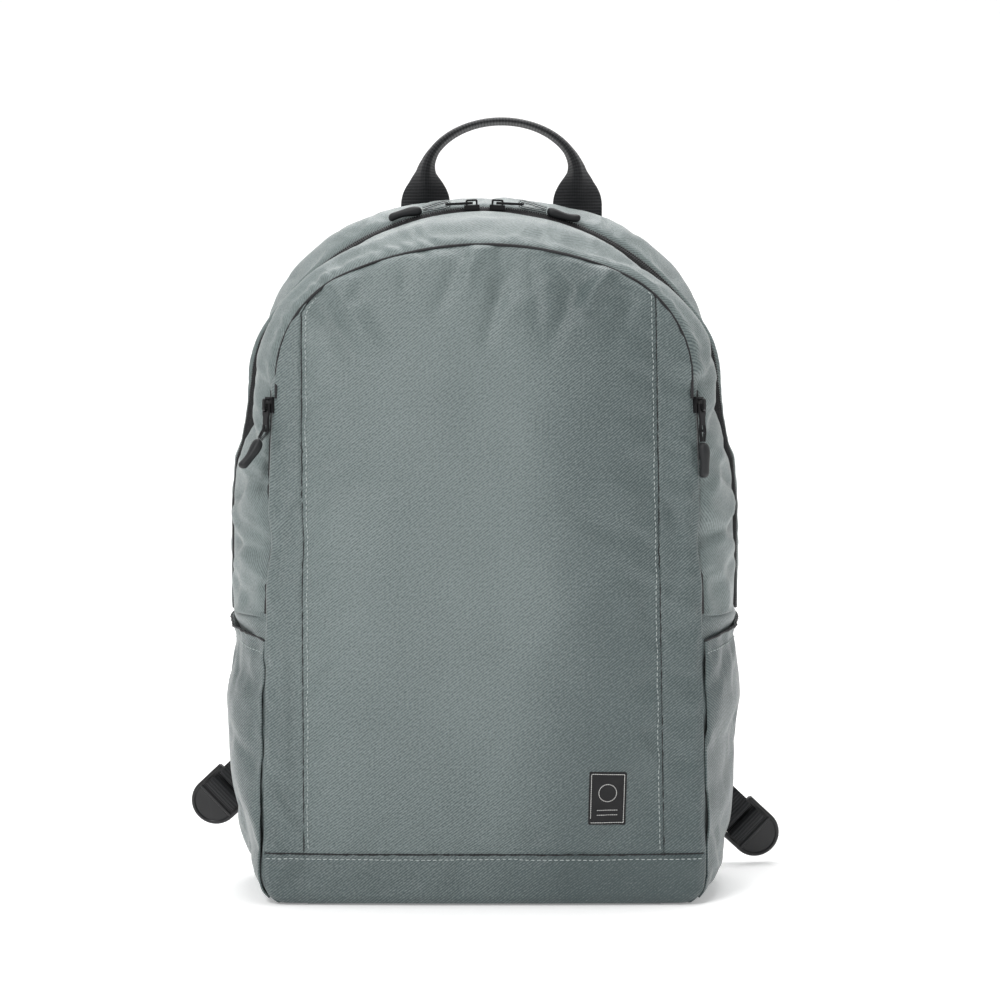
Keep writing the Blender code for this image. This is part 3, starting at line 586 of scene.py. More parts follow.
def smooth_path(points, count):
    """count points evenly along a smooth curve through points."""
    pts = [Vector(p) for p in points]
    pts = [2 * pts[0] - pts[1], *pts, 2 * pts[-1] - pts[-2]]
    fine = []
    for a, b, c, d in zip(pts, pts[1:], pts[2:], pts[3:]):
        for k in range(24):
            t = k / 24
            fine.append(0.5 * (2 * b + (c - a) * t + (2 * a - 5 * b + 4 * c - d) * t * t
                               + (3 * b - a - 3 * c + d) * t ** 3))
    fine.append(pts[-2])
    return resample(fine, count)


def resample(points, count):
    along = running([(q - p).length for p, q in zip(points, points[1:])])
    at = np.linspace(0, along[-1], count)
    return [Vector([np.interp(s, along, [p[k] for p in points]) for k in range(3)]) for s in at]


def path_length(points):
    return sum((q - p).length for p, q in zip(points, points[1:]))


def tangents(path):
    """Unit directions along path, one for each point."""
    ends = [path[0], *path, path[-1]]
    return [(c - a).normalized() for a, c in zip(ends, ends[2:])]


def tube_mesh(name, rings, closed_ends=True):
    """A closed skin through rings of equally many points, with UVs in metres along and around it."""
    count = len(rings[0])
    flat = [tuple(p) for points in rings for p in points]
    faces, uvs = [], []
    around = running([(rings[0][(i + 1) % count] - rings[0][i]).length for i in range(count)])
    middles = [sum(points, Vector()) / count for points in rings]
    along = running([(q - p).length for p, q in zip(middles, middles[1:])])
    for i in range(len(rings) - 1):
        for j in range(count):
            k = (j + 1) % count
            faces.append((i * count + j, i * count + k, (i + 1) * count + k, (i + 1) * count + j))
            uvs.append([(around[j], along[i]), (around[j + 1], along[i]),
                        (around[j + 1], along[i + 1]), (around[j], along[i + 1])])
    if closed_ends:
        faces.append(tuple(range(count))[::-1])
        uvs.append([(around[j], along[0]) for j in range(count)][::-1])
        faces.append(tuple((len(rings) - 1) * count + j for j in range(count)))
        uvs.append([(around[j], along[-1]) for j in range(count)])
    mesh = bpy.data.meshes.new(name)
    mesh.from_pydata(flat, [], faces)
    layer = mesh.uv_layers.new(name="UVMap")
    for polygon, face_uvs in zip(mesh.polygons, uvs):
        for loop, uv in zip(polygon.loop_indices, face_uvs):
            layer.data[loop].uv = uv
    bm = bmesh.new()
    bm.from_mesh(mesh)
    bmesh.ops.recalc_face_normals(bm, faces=bm.faces)
    bm.to_mesh(mesh)
    bm.free()
    mesh.shade_smooth()
    mesh.set_sharp_from_angle(angle=math.radians(50))
    return mesh


STITCH_SHAPE = ((0, 0.35, -0.7), (0.18, 0.9, 0.35), (0.5, 1, 0.6), (0.82, 0.9, 0.35), (1, 0.35, -0.7))


def stitches(name, lines, material, body, slot, length=0.0026, space=0.0011, radius=0.00028):
    """A row of thread stitches along each line of (point, normal) pairs."""
    skin, faces = [], []
    for line in lines:
        points = [p for p, _ in line]
        total = path_length(points)
        along = running([(q - p).length for p, q in zip(points, points[1:])])
        count = max(int(total / (length + space)), 1)

        def at(s, what):
            return Vector([np.interp(s, along, [item[what][k] for item in line]) for k in range(3)])

        for n in range(count):
            s = (n + 0.5) * total / count
            a, b = at(s - length / 2, 0), at(s + length / 2, 0)
            up = at(s, 1).normalized()
            run = (b - a).normalized()
            side = run.cross(up).normalized()
            base = len(skin)
            for t, r, lift in STITCH_SHAPE:
                middle = a.lerp(b, t) + up * radius * lift
                for k in range(5):
                    angle = 2 * math.pi * k / 5
                    skin.append(middle + side * (radius * 1.25 * r * math.cos(angle))
                                     + up * (radius * r * math.sin(angle)))
            for i in range(4):
                for k in range(5):
                    m = (k + 1) % 5
                    row = base + i * 5
                    faces.append((row + k, row + m, row + 5 + m, row + 5 + k))
            faces.append(tuple(base + k for k in range(5))[::-1])
            faces.append(tuple(base + 20 + k for k in range(5)))
    mesh = bpy.data.meshes.new(name)
    mesh.from_pydata([tuple(p) for p in skin], [], faces)
    mesh.shade_smooth()
    return declare(new_object(name, mesh, material), body, slot)


def seam_shadow_tube(name, path, up, radius):
    """Painted shadow: a thin dark tube where two cloths meet, standing in for the shade in the seam."""
    rings = [ring(p, t.cross(up).normalized(), up, radius, radius, 6) for p, t in zip(path, tangents(path))]
    skin_piece(name, rings, BLACK_THREAD_AND_SEAM_SHADOW, "pack", "shell_twill")


def surface_lines(obj, index_lines, lift=0.0001):
    """(point, normal) lines through vertices of a mesh."""
    points, normals = coordinates_of(obj.data), normals_of(obj.data)
    return [[(Vector(points[i] + normals[i] * lift), Vector(normals[i])) for i in line]
            for line in index_lines]


# ---------------------------------------------------------------- front


FRONT_CREASES = [crease(*numbers) for numbers in (
    ((0.018, 0.407), (0.000, 0.352), 0.0045, -0.0016),
    ((0.030, 0.405), (0.034, 0.362), 0.0040, -0.0012),
    ((-0.012, 0.412), (-0.030, 0.372), 0.0050, -0.0010),
    ((-0.108, 0.392), (-0.080, 0.344), 0.0070, -0.0018),
    ((-0.103, 0.399), (-0.066, 0.350), 0.0062, 0.0028),
    ((0.096, 0.396), (0.078, 0.352), 0.0070, -0.0014),
    ((0.084, 0.408), (0.060, 0.376), 0.0056, 0.0028),
    ((0.060, 0.397), (0.040, 0.350), 0.0060, -0.0010),
    ((-0.122, 0.200), (-0.118, 0.060), 0.0040, -0.0008),
    ((-0.134, 0.085), (-0.112, 0.045), 0.0045, -0.0018),
    ((-0.137, 0.062), (-0.120, 0.028), 0.0040, -0.0015),
    ((-0.128, 0.228), (-0.112, 0.262), 0.0045, -0.0012),
    ((0.128, 0.230), (0.112, 0.262), 0.0045, -0.0012),
    ((0.128, 0.228), (0.113, 0.190), 0.0045, -0.0010),
    ((0.020, 0.150), (0.085, 0.205), 0.0140, 0.0010),
    ((-0.080, 0.120), (0.020, 0.090), 0.0200, -0.0012),
    ((-0.060, 0.260), (0.045, 0.215), 0.0220, -0.0010),
    ((-0.020, 0.062), (0.070, 0.048), 0.0110, -0.0012),
    ((-0.132, 0.006), (-0.108, 0.027), 0.0030, -0.0012),
    ((-0.126, 0.004), (-0.090, 0.018), 0.0035, 0.0010),
    ((-0.070, 0.008), (-0.030, 0.020), 0.0050, -0.0006),
    ((0.120, 0.008), (0.085, 0.022), 0.0040, -0.0008),
    ((0.020, 0.006), (0.060, 0.016), 0.0050, -0.0006),
    ((0.010, 0.420), (0.006, 0.375), 0.0032, -0.0014),
    ((-0.004, 0.418), (-0.012, 0.385), 0.0030, 0.0010),
    ((0.045, 0.408), (0.062, 0.380), 0.0040, -0.0010),
    ((-0.052, 0.410), (-0.048, 0.385), 0.0040, -0.0010),
)]


SEAM_SHIFTS = {-1: ((0.036, 0.376), (0.0012, -0.0095)), 1: ((0.036, 0.376), (0.0016, -0.0025))}


def pinched(z):
    """The sides are drawn in where the body bends, a little above the pockets."""
    return 0.0024 * bell(z - 0.230, 0.014)


def seam_shift(x, z):
    """How far the cloth moves sideways so that the two seams stand where they were sewn, not quite alike."""
    sign = 1 if x > 0 else -1
    seam = strip_x(min(max(z, BAND_TOP), STRIP_TOP_Z))
    edge = max(half_width(-1, z) if z < 0.40 else seam, seam)
    room = 0.75 * (edge - seam)
    shift = min(-float(np.interp(z, *SEAM_SHIFTS[sign])), room)
    share = (abs(x) / seam) ** 3 if abs(x) <= seam else max(edge - abs(x), 0) / max(edge - seam, 1e-4)
    return sign * shift * min(share, 1)


FLAPS = (0.5, 1.0)
LOW_ROWS = (0.0012, 0.0022, 0.0043, 0.0075, 0.0110, 0.0150, 0.0190, 0.0230, 0.0265, 0.0298, 0.0320, 0.0330)
STRIP_SHARES = (0.04, 0.12, 0.26, 0.42, 0.58, 0.74, 0.88, 0.96, 1.0)


def front():
    """The whole front in one cloth: middle, side strips and bottom band, sewn down along its seams.

    Its side edges turn back over the pocket zips as narrow flaps."""
    half = STRIP_TOP_X
    inner = [1 - d / half for d in (0.0, 0.0009, 0.0028, 0.0058)]
    columns = sorted([*(-c for c in inner), *inner, *np.linspace(-0.91, 0.91, 50)])
    foot = BAND_TOP + GAP
    shares = [0.0025, 0.008, 0.016] + [s for s in 1 - (1 - np.linspace(0, 1, 92)[1:]) ** 1.12 if s > 0.022]
    rows = []

    def row_at(z_of, z_side):
        base = strip_x(max(z_side, BAND_TOP))
        edge = max(half_width(-1, z_side), base)

        def z_strip(t):
            return z_side + (z_of(base) - z_side) * (1 - t)

        right = [(base + (edge - base) * t, z_strip(t), 0) for t in STRIP_SHARES]
        right += [(edge, z_side, flap) for flap in FLAPS]
        left = [(-x, z, flap) for x, z, flap in right[::-1]]
        return left + [(f * base, z_of(f * base), 0) for f in columns] + right

    for z in LOW_ROWS:
        rows.append(row_at(lambda x, z=z: z, z))
    for g in shares:
        side = foot + g * (STRIP_TOP_Z - foot)
        rows.append(row_at(lambda x, g=g: foot + g * (height_at(-1, x) - foot), side))

    def place(x, z, flap):
        if not flap:
            at = front_surface(x, z)
            at.y += 0.9 * max(0.004 - z, 0)
            return at
        open_side = clamp((0.345 - z) / 0.015)
        depth = -1 + 0.043 * flap
        reach = half_width(depth, z) + 0.0013 * (1.4 - flap)
        turned = Vector((math.copysign(reach, x), depth_y(depth, z), z))
        tucked = Vector((x * (1 - 0.012 * flap), front_y(z) + 0.003 * flap, z - 0.002 * flap))
        return tucked.lerp(turned, open_side)

    for row in rows:
        for k, (x, z, flap) in enumerate(row):
            row[k] = (x + seam_shift(x, z), z, flap)
    points = [[place(*spot) for spot in row] for row in rows]
    uvs = np.array([[(x + math.copysign(0.003 * flap, x), z) for x, z, flap in row] for row in rows])
    count = len(points[0])
    obj = new_object("front_cloth", grid_mesh("front_cloth", points, lambda p: FORWARD, uvs), SHELL)
    seam = len(STRIP_SHARES) + len(FLAPS)
    seam_columns = [seam, count - 1 - seam]
    band_row = len(LOW_ROWS) - 1
    held = np.zeros((len(points), count))
    held[:3, :] = held[-1, :] = 1
    held[:, :2] = held[:, -2:] = 1
    held[:, 2] = held[:, -3] = 0.9
    held[:, seam_columns] = 0.9
    held[band_row:band_row + 2, :] = 0.95
    simulate(obj, held.ravel(), 1.6, 0.024, 0.0045, 18, 0.8)
    flat = np.array([spot for row in rows for spot in row])
    current = coordinates_of(obj.data)
    for i, (x, z, flap) in enumerate(flat):
        side = half_width(-1, z) if z < 0.33 else 1
        top = height_at(-1, x) - z if abs(x) < 0.125 else 1
        to_edge = max(min(side - abs(x), top), 0)
        c = i % count
        d_seam = min(abs(x - flat[i - c + k][0]) for k in seam_columns) if z > BAND_TOP else 1
        d_band = abs(z - BAND_TOP)
        share = math.exp(-2.5 * flap)
        amount = sum(fold(x, z) for fold in FRONT_CREASES)
        around = x if top < side - abs(x) else z
        rim = math.exp(-to_edge / 0.010) * min((to_edge + 0.0004) / 0.0018, 1)
        amount += 0.0016 * ruffle(around, 3) * rim
        amount += 0.0010 * max(ruffle(around * 0.5, 31), 0) * math.exp(-to_edge / 0.028)
        amount += 0.0006 * ruffle(z, 5 + math.copysign(1, x)) * math.exp(-d_seam / 0.008)
        amount += 0.0006 * ruffle(x, 8) * math.exp(-d_band / 0.008)
        amount -= 0.0015 * bell(d_seam, 0.0009) + 0.0016 * bell(d_band, 0.0009)
        amount += 0.0016 * cloudy(x * 20, z * 14, 2)
        amount += 0.0006 * cloudy(x * 55, z * 40, 6)
        current[i, 1] -= amount * share * clamp((z - 0.002) / 0.01)
        if not flap:
            current[i, 1] += 0.0026 * max(1 - to_edge / 0.0055, 0) ** 2
        pinch = pinched(z) * clamp((abs(x) - 0.105) / 0.02)
        wander = 0.0010 * cloudy(z * 30, x, 4) * clamp((abs(x) - 0.118) / 0.01)
        current[i, 0] -= math.copysign(pinch + wander, x)
    move_to(obj.data, current)
    thicken(obj, 0.0012)
    declare(obj, "pack", "shell_twill", "front_panel_centre", "front_strip_left", "front_strip_right",
            "bottom_band")
    lines = []
    for column in (seam + 2, count - 1 - seam - 2):
        lines.append([r * count + column for r in range(band_row + 2, len(points) - 1)])
    lines.append([(band_row - 2) * count + c for c in range(3, count - 3)])
    sewn = coordinates_of(obj.data)
    upright = range(band_row + 1, len(points) - 1)
    # Painted shadow lines along the band seam and the two strip seams.
    for name, line in (("band", [band_row * count + c for c in range(2, count - 2)]),
                       ("left", [r * count + seam for r in upright]),
                       ("right", [r * count + count - 1 - seam for r in upright])):
        raised = Vector((0, -0.0005 if name == "band" else -0.0004, 0))
        seam_shadow_tube(f"seam_{name}", [Vector(sewn[i]) + raised for i in line], FORWARD,
                    0.00055 if name == "band" else 0.00032)
    stitches("front_topstitch", surface_lines(obj, lines), THREAD, "pack", "shell_twill")
    return obj


# ---------------------------------------------------------------- gussets, sides, pockets


def panel(name, rows, outward, held, nodes, pressure, grow, cap, folds, thickness=0.0018):
    """A sewn wall of the shell, let out under air pressure and given its folds."""
    obj = new_object(name, grid_mesh(name, rows, outward), SHELL)
    simulate(obj, held.ravel(), pressure, grow, cap, 14)
    displaced(obj, folds)
    thicken(obj, thickness)
    return declare(obj, "pack", "shell_twill", *nodes)


def edges_held(rows, columns, ends=1):
    """How firmly a grid is sewn: fully at its edges, ends rows deep, and not at all inside."""
    held = np.zeros((rows, columns))
    held[:ends, :] = held[-ends:, :] = 1
    held[:, :ends] = held[:, -ends:] = 1
    return held


def away(point):
    return Vector((point.x, 0, point.z - 0.22))


def outwards(point):
    return Vector((point.x, 0, 0))


def gusset_folds(p):
    """Soft folds that fan out from the ends of the pocket zips, and slack over the shoulders."""
    x, y, z = p
    depth = (y - ZIP_Y) / 0.072
    amount = 0.0012 * cloudy(x * 18, y * 28, z * 22)
    amount += 0.0007 * cloudy(x * 40, y * 30, z * 70 + y * 60)
    for centre_z, slope, size, width in GUSSET_FOLDS:
        line = centre_z + slope * (y + 0.03) + (0.006 if x > 0 else -0.004)
        fade = max(1 - abs(depth + 0.45) / 0.65, 0)
        amount += 1.3 * size * fade * bell(z - line, width) * (1 if abs(x) > 0.1 else 0)
    middle = math.sin(math.pi * clamp((y + 0.066) / 0.066))
    slack_z, slack_width, slack = (0.366, 0.030, 0.0048) if x < 0 else (0.385, 0.036, 0.0046)
    amount -= slack * middle * bell(z - slack_z, slack_width) * clamp((abs(x) - 0.055) / 0.045)
    near = clamp(1.6 - abs(y - ZIP_Y) / 0.012)
    seam = math.exp(-abs(y + 0.064) / 0.012)
    amount += 0.0020 * ruffle(x * 0.7 + z, 15) * seam * clamp((y + 0.066) / 0.004) * (z > 0.2)
    return amount * (1 - near)


GUSSET_FOLDS = ((0.306, 0.55, -0.0048, 0.006), (0.266, -0.50, -0.0038, 0.006), (0.231, 0.10, -0.0044, 0.005),
                (0.240, 0.85, 0.0030, 0.006), (0.220, -0.75, 0.0026, 0.006), (0.345, 0.7, -0.0030, 0.007),
                (0.285, 1.1, 0.0022, 0.005), (0.205, 0.5, -0.0020, 0.006))
GUSSET_LIFTS = ((-1.0, -0.0026), (-0.992, 0.0002), (-0.975, 0.0017), (-0.95, 0.0023), (-0.92, 0.0020),
                (-0.88, 0.0010), (-0.82, 0.0002), (-0.60, 0.0))
DIP_SHARES = ((-0.60, 0.0), (-0.30, 0.45), (-0.20, 0.75), (-0.14, 0.95), (-0.085, 1.12))


def edge_lift(depth):
    rolled = float(np.interp(depth, *zip(*GUSSET_LIFTS)))
    share = float(np.interp(depth, *zip(*DIP_SHARES)))
    return lambda x, z: rolled - share * zip_dip(x, z)


def open_share(z):
    """1 where the pocket zip runs, 0 above it."""
    return clamp((0.336 - z) / 0.012)


def front_gusset_point(depth, raised, plain):
    """Above the pocket zip the edge rolls into the seam. Along the zip it stops short, under the flap."""
    share = open_share(plain.z) if depth < -0.8 else 0
    at = raised.lerp(plain, share)
    at.y += share * max(0.0047 * (-0.87 - depth) / 0.13, 0)
    at.x -= math.copysign(pinched(at.z) * 1.2 * clamp((-0.45 - depth) / 0.3), at.x)
    if depth < -0.86:
        at += away(plain).normalized() * (0.0011 * ruffle(plain.x * 0.8 + plain.z * 1.3, 12) * (1 - share))
    return at


def gussets():
    count = 281
    depths = [-1.0, -0.992, -0.975, -0.95, -0.92, -0.88, -0.82, -0.74, -0.65, -0.55, -0.45, -0.35, -0.26,
              -0.19, -0.14, -0.105, -0.085]
    rows = [[front_gusset_point(d, a, b)
             for a, b in zip(arch_row(d, count, edge_lift(d)), arch_row(d, count))] for d in depths]
    held = edges_held(len(rows), count)
    held[:4, :] = 0.95
    held[-7:, :] = np.array([0.5, 0.7, 0.85, 0.95, 1, 1, 1])[:, None]
    panel("front_gusset_cloth", rows, away, held, ["front_gusset", "front_seam_piping"], 1.8, 0.022, 0.0045,
          gusset_folds)
    depths = [0.075, 0.085, 0.11, 0.16, 0.24, 0.34, 0.45, 0.56, 0.67, 0.78, 0.87, 0.93, 0.97, 0.99]
    lifts = [-0.0022, 0.0006, 0.0012, 0.0009] + [0.0] * 10
    rows = [arch_row(d, count, lift) for d, lift in zip(depths, lifts)]
    held = edges_held(len(rows), count)
    held[:3, :] = 0.95
    panel("rear_gusset_cloth", rows, away, held, ["rear_gusset"], 1.8, 0.022, 0.0045, gusset_folds)


def seam_line():
    """Painted shadow: a dark tube along the seam between the front and the front gusset, over the arch."""
    path = [p + Vector((0, -0.0004, 0)) for p in arch_row(-1.0, 301, -0.0002) if p.z > 0.318]
    rings = []
    for i, (p, t) in enumerate(zip(path, tangents(path))):
        out = (away(p) - away(p).dot(t) * t).normalized()
        side = t.cross(out).normalized()
        radius = 0.00095 + 0.00012 * ruffle(i * 0.0016, 4)
        rings.append(ring(p, side, out, radius, radius, 8))
    # Painted shadow line in the seam, in the black colour.
    skin_piece("front_seam_line", rings, BLACK_THREAD_AND_SEAM_SHADOW, "pack", "shell_twill")


def side_panels():
    levels = [0.1850, 0.1815, 0.1795, 0.176, 0.172, 0.167, *np.linspace(0.160, 0.014, 28), 0.010, 0.007,
              0.004, 0.002, 0.0010]
    depths = [-0.99, -0.975, -0.94, -0.89, -0.83, -0.76, -0.68, *np.linspace(-0.58, 0.58, 18), 0.68, 0.76,
              0.83, 0.90, 0.95, 0.975, 0.99]
    for side, sign in SIDES.items():
        rows = []
        for z in levels:
            up = min(max(z - WALL_FOOT, 0) / 0.045, max(0.172 - z, 0) / 0.035, 1)
            under = 0.0022 * clamp((z - 0.1800) / 0.0015)
            row = []
            for d in depths:
                sink = PANEL_SINK * up * max(math.cos(math.pi / 2 * d / 0.8), 0) + under
                row.append(Vector((sign * (half_width(d, z) - sink), depth_y(d, z), z)))
            rows.append(row)

        def folds(p, seed=sign):
            amount = 0.0006 * ruffle(p[1], seed) * math.exp(-abs(p[2] - 0.180) / 0.010)
            return amount + 0.0008 * cloudy(seed, p[1] * 30, p[2] * 26)

        held = edges_held(len(rows), len(depths))
        panel(f"side_cloth_{side}", rows, outwards, held, [f"side_panel_{side}"], 0.5, 0.012, 0.0012, folds)


POCKET_FRONT, POCKET_REAR = -0.952, 0.85


def pocket_point(side, depth, z):
    """A point of the side pocket, swelling most in its lower middle and drawn in at its mouth."""
    share = (depth - POCKET_FRONT) / (POCKET_REAR - POCKET_FRONT)
    across = math.sin(math.pi * clamp(share)) ** 0.75
    up = math.sin(math.pi / 2 * clamp((z - 0.006) / 0.055)) ** 0.8
    closed = 1 - 0.80 * clamp((z - 0.125) / 0.045)
    if side == "right":
        closed *= 1 - 0.35 * bell(z - 0.085, 0.05)
    lift = 0.0022 + POCKET_SWELL * across * up * closed
    return Vector((SIDES[side] * (half_width(depth, z) + lift), depth_y(depth, z), z))


def pocket_mouth(depth):
    share = (depth - POCKET_FRONT) / (POCKET_REAR - POCKET_FRONT)
    return POCKET_MOUTH_FRONT + (POCKET_MOUTH_REAR - POCKET_MOUTH_FRONT) * share ** 0.7


def side_pockets():
    depths = [-0.952, -0.942, -0.92, -0.88, *np.linspace(-0.82, 0.70, 32), 0.76, 0.805, 0.835, 0.85]
    for side, sign in SIDES.items():
        rows = []
        for share in [1.0, 0.99, 0.972, 0.95, *np.linspace(0.92, 0.04, 34), 0.02, 0.0]:
            rows.append([pocket_point(side, d, 0.0035 + share * (pocket_mouth(d) - 0.0035)) for d in depths])
        held = edges_held(len(rows), len(depths))
        held[:3, :] = 0.9

        def folds(p, seed=sign):
            depth = (p[1] - ZIP_Y) / (0.073 if p[1] < ZIP_Y else 0.063)
            below = max(pocket_mouth(min(max(depth, POCKET_FRONT), POCKET_REAR)) - p[2], 0)
            amount = 0.0014 * ruffle(p[1] * 0.6, 20 + seed) * math.exp(-max(below - 0.008, 0) / 0.022)
            amount += 0.0018 * cloudy(seed * 3, p[1] * 30, p[2] * 15)
            return amount - 0.0006 * bell(below - 0.0066, 0.001)

        obj = panel(f"pocket_cloth_{side}", rows, outwards, held, [f"side_pocket_{side}"], 1.0, 0.020, 0.0035,
                    folds, 0.0013)
        count = len(depths)
        hem = [[3 * count + c for c in range(1, count - 1)]]
        stitches(f"pocket_topstitch_{side}", surface_lines(obj, hem), THREAD, "pack", "shell_twill")
        points = coordinates_of(obj.data)
        lip = [Vector(points[c]) for c in range(count)]
        rings = []
        for p, t in zip(lip, tangents(lip)):
            out = Vector((sign, 0, 0))
            rings.append(ring(p - out * 0.0003, out, t.cross(out).normalized(), 0.0008, 0.0008, 8))
        skin_piece(f"pocket_binding_{side}", rings, BINDING, "pack", "shell_twill", f"side_pocket_hem_{side}")


def base():
    """The stiff panel under the foot, with rounded corners and a rounded lower edge."""
    bm = bmesh.new()
    bmesh.ops.create_cube(bm, size=1)
    low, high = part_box("base_panel")
    for v in bm.verts:
        v.co = Vector([(low[k] + high[k]) / 2 + v.co[k] * ((high[k] - low[k]) - (0.014, 0.010, 0.0002)[k])
                       for k in range(3)])
    corners = [e for e in bm.edges if abs(e.verts[0].co.z - e.verts[1].co.z) > 0.002]
    bmesh.ops.bevel(bm, geom=corners, offset=0.018, segments=8, affect="EDGES")
    rim = [e for e in bm.edges if e.is_boundary or abs(e.calc_face_angle(0)) > 0.8]
    bmesh.ops.bevel(bm, geom=rim, offset=0.0012, segments=2, affect="EDGES")
    mesh = bpy.data.meshes.new("base_cloth")
    bm.to_mesh(mesh)
    bm.free()
    mesh.shade_smooth()
    uvs_from(mesh, lambda p: p.xy)
    declare(new_object("base_cloth", mesh, SHELL), "pack", "shell_twill", "base_panel")


# ---------------------------------------------------------------- zips


def zip_half(name, lines, node, coil_line, coil_out):
    """Woven tape with a row of coil turns along its inner edge."""
    rings = [[line[i] for line in lines] for i in range(len(lines[0]))]
    skin_piece(name, rings, TAPE, "pack", "zip_tape", node)
    faces, points = [], []
    path = resample(coil_line, max(int(path_length(coil_line) / 0.0015), 2))
    outs = resample(coil_out, len(path))
    for p, q, t in zip(path, outs, tangents(path)):
        across = q - p
        width = across.length
        across.normalize()
        up = across.cross(t).normalized()
        if up.dot(away(p)) < 0:
            up = -up
        base = len(points)
        for a, h, w in ((0.0, 0.1, 0.3), (0.25, 1.0, 0.5), (0.8, 0.9, 0.5), (1.0, 0.0, 0.35)):
            for s, k in ((-1, 0.2), (-0.4, 1.0), (0.4, 1.0), (1, 0.2)):
                points.append(p + across * (width * a) + t * (0.0011 * w * s)
                              + up * (0.0007 * h * k - 0.0003))
        for i in range(3):
            for k in range(3):
                v = base + i * 4 + k
                faces.append((v, v + 1, v + 5, v + 4))
    mesh = bpy.data.meshes.new(name + "_coil")
    mesh.from_pydata([tuple(p) for p in points], [], faces)
    mesh.shade_smooth()
    declare(new_object(name + "_coil", mesh, COIL), "pack", "zip_tape")


def at_side_seam(p):
    return Vector((p.x, p.y, max(p.z, SIDE_SEAM_Z + GAP)))


def main_zip():
    """Both halves of the main zip, leaning forward a little between the two gussets."""
    profile = [(0.0004, -0.0025), (0.0060, -0.0027), (0.0060, -0.0015), (0.0030, -0.0011), (0.0026, 0.0000),
               (0.0004, 0.0002)]
    for name, sign in (("main_zip_front_half", -1), ("main_zip_rear_half", 1)):
        def leaning(across, up, count):
            def lift(x, z):
                return up + (-zip_dip(x, z) if sign < 0 else 0.0011) * across / 0.0060

            return [at_side_seam(p) + Vector((0, sign * across, 0)) for p in arch_row(0, count, lift)]

        lines = [leaning(across, up, 221) for across, up in profile]
        low, high = leaning(0.0003, 0.0004, 601), leaning(0.0027, 0.0004, 601)
        zip_half(name + "_tape", lines, name, low, high)


def pocket_zips():
    """A dark tape and coil along each side of the front, between the front's edge and the gusset."""
    heights = np.linspace(0.325, 0.184, 40)
    for side, sign in SIDES.items():
        for half, low, high in (("front", -0.990, -0.953), ("rear", -0.947, -0.900)):
            def line(depth, lift):
                return [Vector((sign * (half_width(depth, z) + lift - pinched(z) * 1.5),
                                depth_y(depth, z), z)) for z in heights]

            lines = [line(low, -0.0032), line(high, -0.0032), line(high, -0.0018), line(low, -0.0018)]
            inner = high if half == "front" else low
            outer = inner + (-0.022 if half == "front" else 0.022)
            zip_half(f"pocket_zip_{half}_tape_{side}", lines, f"pocket_zip_{half}_half_{side}",
                     line(inner, -0.0016), line(outer, -0.0016))


def hardware():
    """Better finish on the sliders, tabs, cords and buckles, and rounded edges."""
    for name, obj in NODES.items():
        if name.endswith("_slider") or (name.endswith("_tab") and "zip" in name):
            give(obj, METAL, 0.00022)
            if name.endswith("_tab"):
                fuller(obj, 0.00022)
        elif name.startswith("pocket_zip") and name.endswith("_cord"):
            short_cord(name, obj)
        elif name.endswith("_cord"):
            give(obj, CORD)
            fuller(obj, 0.0008)
        elif name.endswith("_grip"):
            grip(name, obj)
        elif name.startswith("ladder_buckle"):
            give(obj, PLASTIC, 0.0008)
        elif name.startswith("laptop") or name.startswith("front_pocket_divider"):
            give(obj, LINING)


SHORTER = 0.009
GRIP_WIDER, GRIP_THICKER = 1.12, 1.40
GRIP_SHAPE = ((0.0, 0.30), (0.03, 0.62), (0.08, 0.86), (0.16, 1.0), (0.30, 1.0), (0.44, 0.86), (0.60, 0.76),
              (0.76, 0.78), (0.88, 0.84), (0.94, 0.76), (0.98, 0.52), (1.0, 0.22))


def squared(value, power):
    """A sine or cosine raised to power with its sign kept, which makes a circle a rounded square."""
    return math.copysign(abs(value) ** power, value)


def pull_body(name):
    zip_name = "main" if name.startswith("main") else "pocket"
    return f"{zip_name}_pull_{'left' if 'left' in name else 'right'}"


def grip(name, node):
    """A moulded grip: wide where the cord enters, waisted, and round at its end."""
    points = coordinates_of(node.data)
    cord = coordinates_of(NODES[name.replace("_grip", "_cord")].data).mean(axis=0)
    middle = points.mean(axis=0)
    axes = np.linalg.svd(points - middle, full_matrices=False)[2]
    if np.dot(cord - middle, axes[0]) > 0:
        axes[0] = -axes[0]
    spread = (points - middle) @ axes.T
    low, high = spread.min(axis=0), spread.max(axis=0)
    along, wide, thin = (Vector(a) for a in axes)
    centre = Vector(middle) + wide * ((low[1] + high[1]) / 2) + thin * ((low[2] + high[2]) / 2)
    rings = []
    if name.startswith("pocket"):
        centre -= along * SHORTER
    for share, size in GRIP_SHAPE:
        at = centre + along * (low[0] + (high[0] - low[0]) * share)
        at += thin * (0.0012 * math.sin(math.pi * share))
        half_width_here = (high[1] - low[1]) / 2 * GRIP_WIDER * size
        half_thick_here = (high[2] - low[2]) / 2 * GRIP_THICKER * size
        rings.append([at + wide * (half_width_here * squared(math.cos(a), 0.8))
                      + thin * (half_thick_here * squared(math.sin(a), 0.8)) for a in full_turn(16)])
    smoothed(skin_piece(name + "_moulding", rings, RUBBER, pull_body(name), "pull_rubber", name))


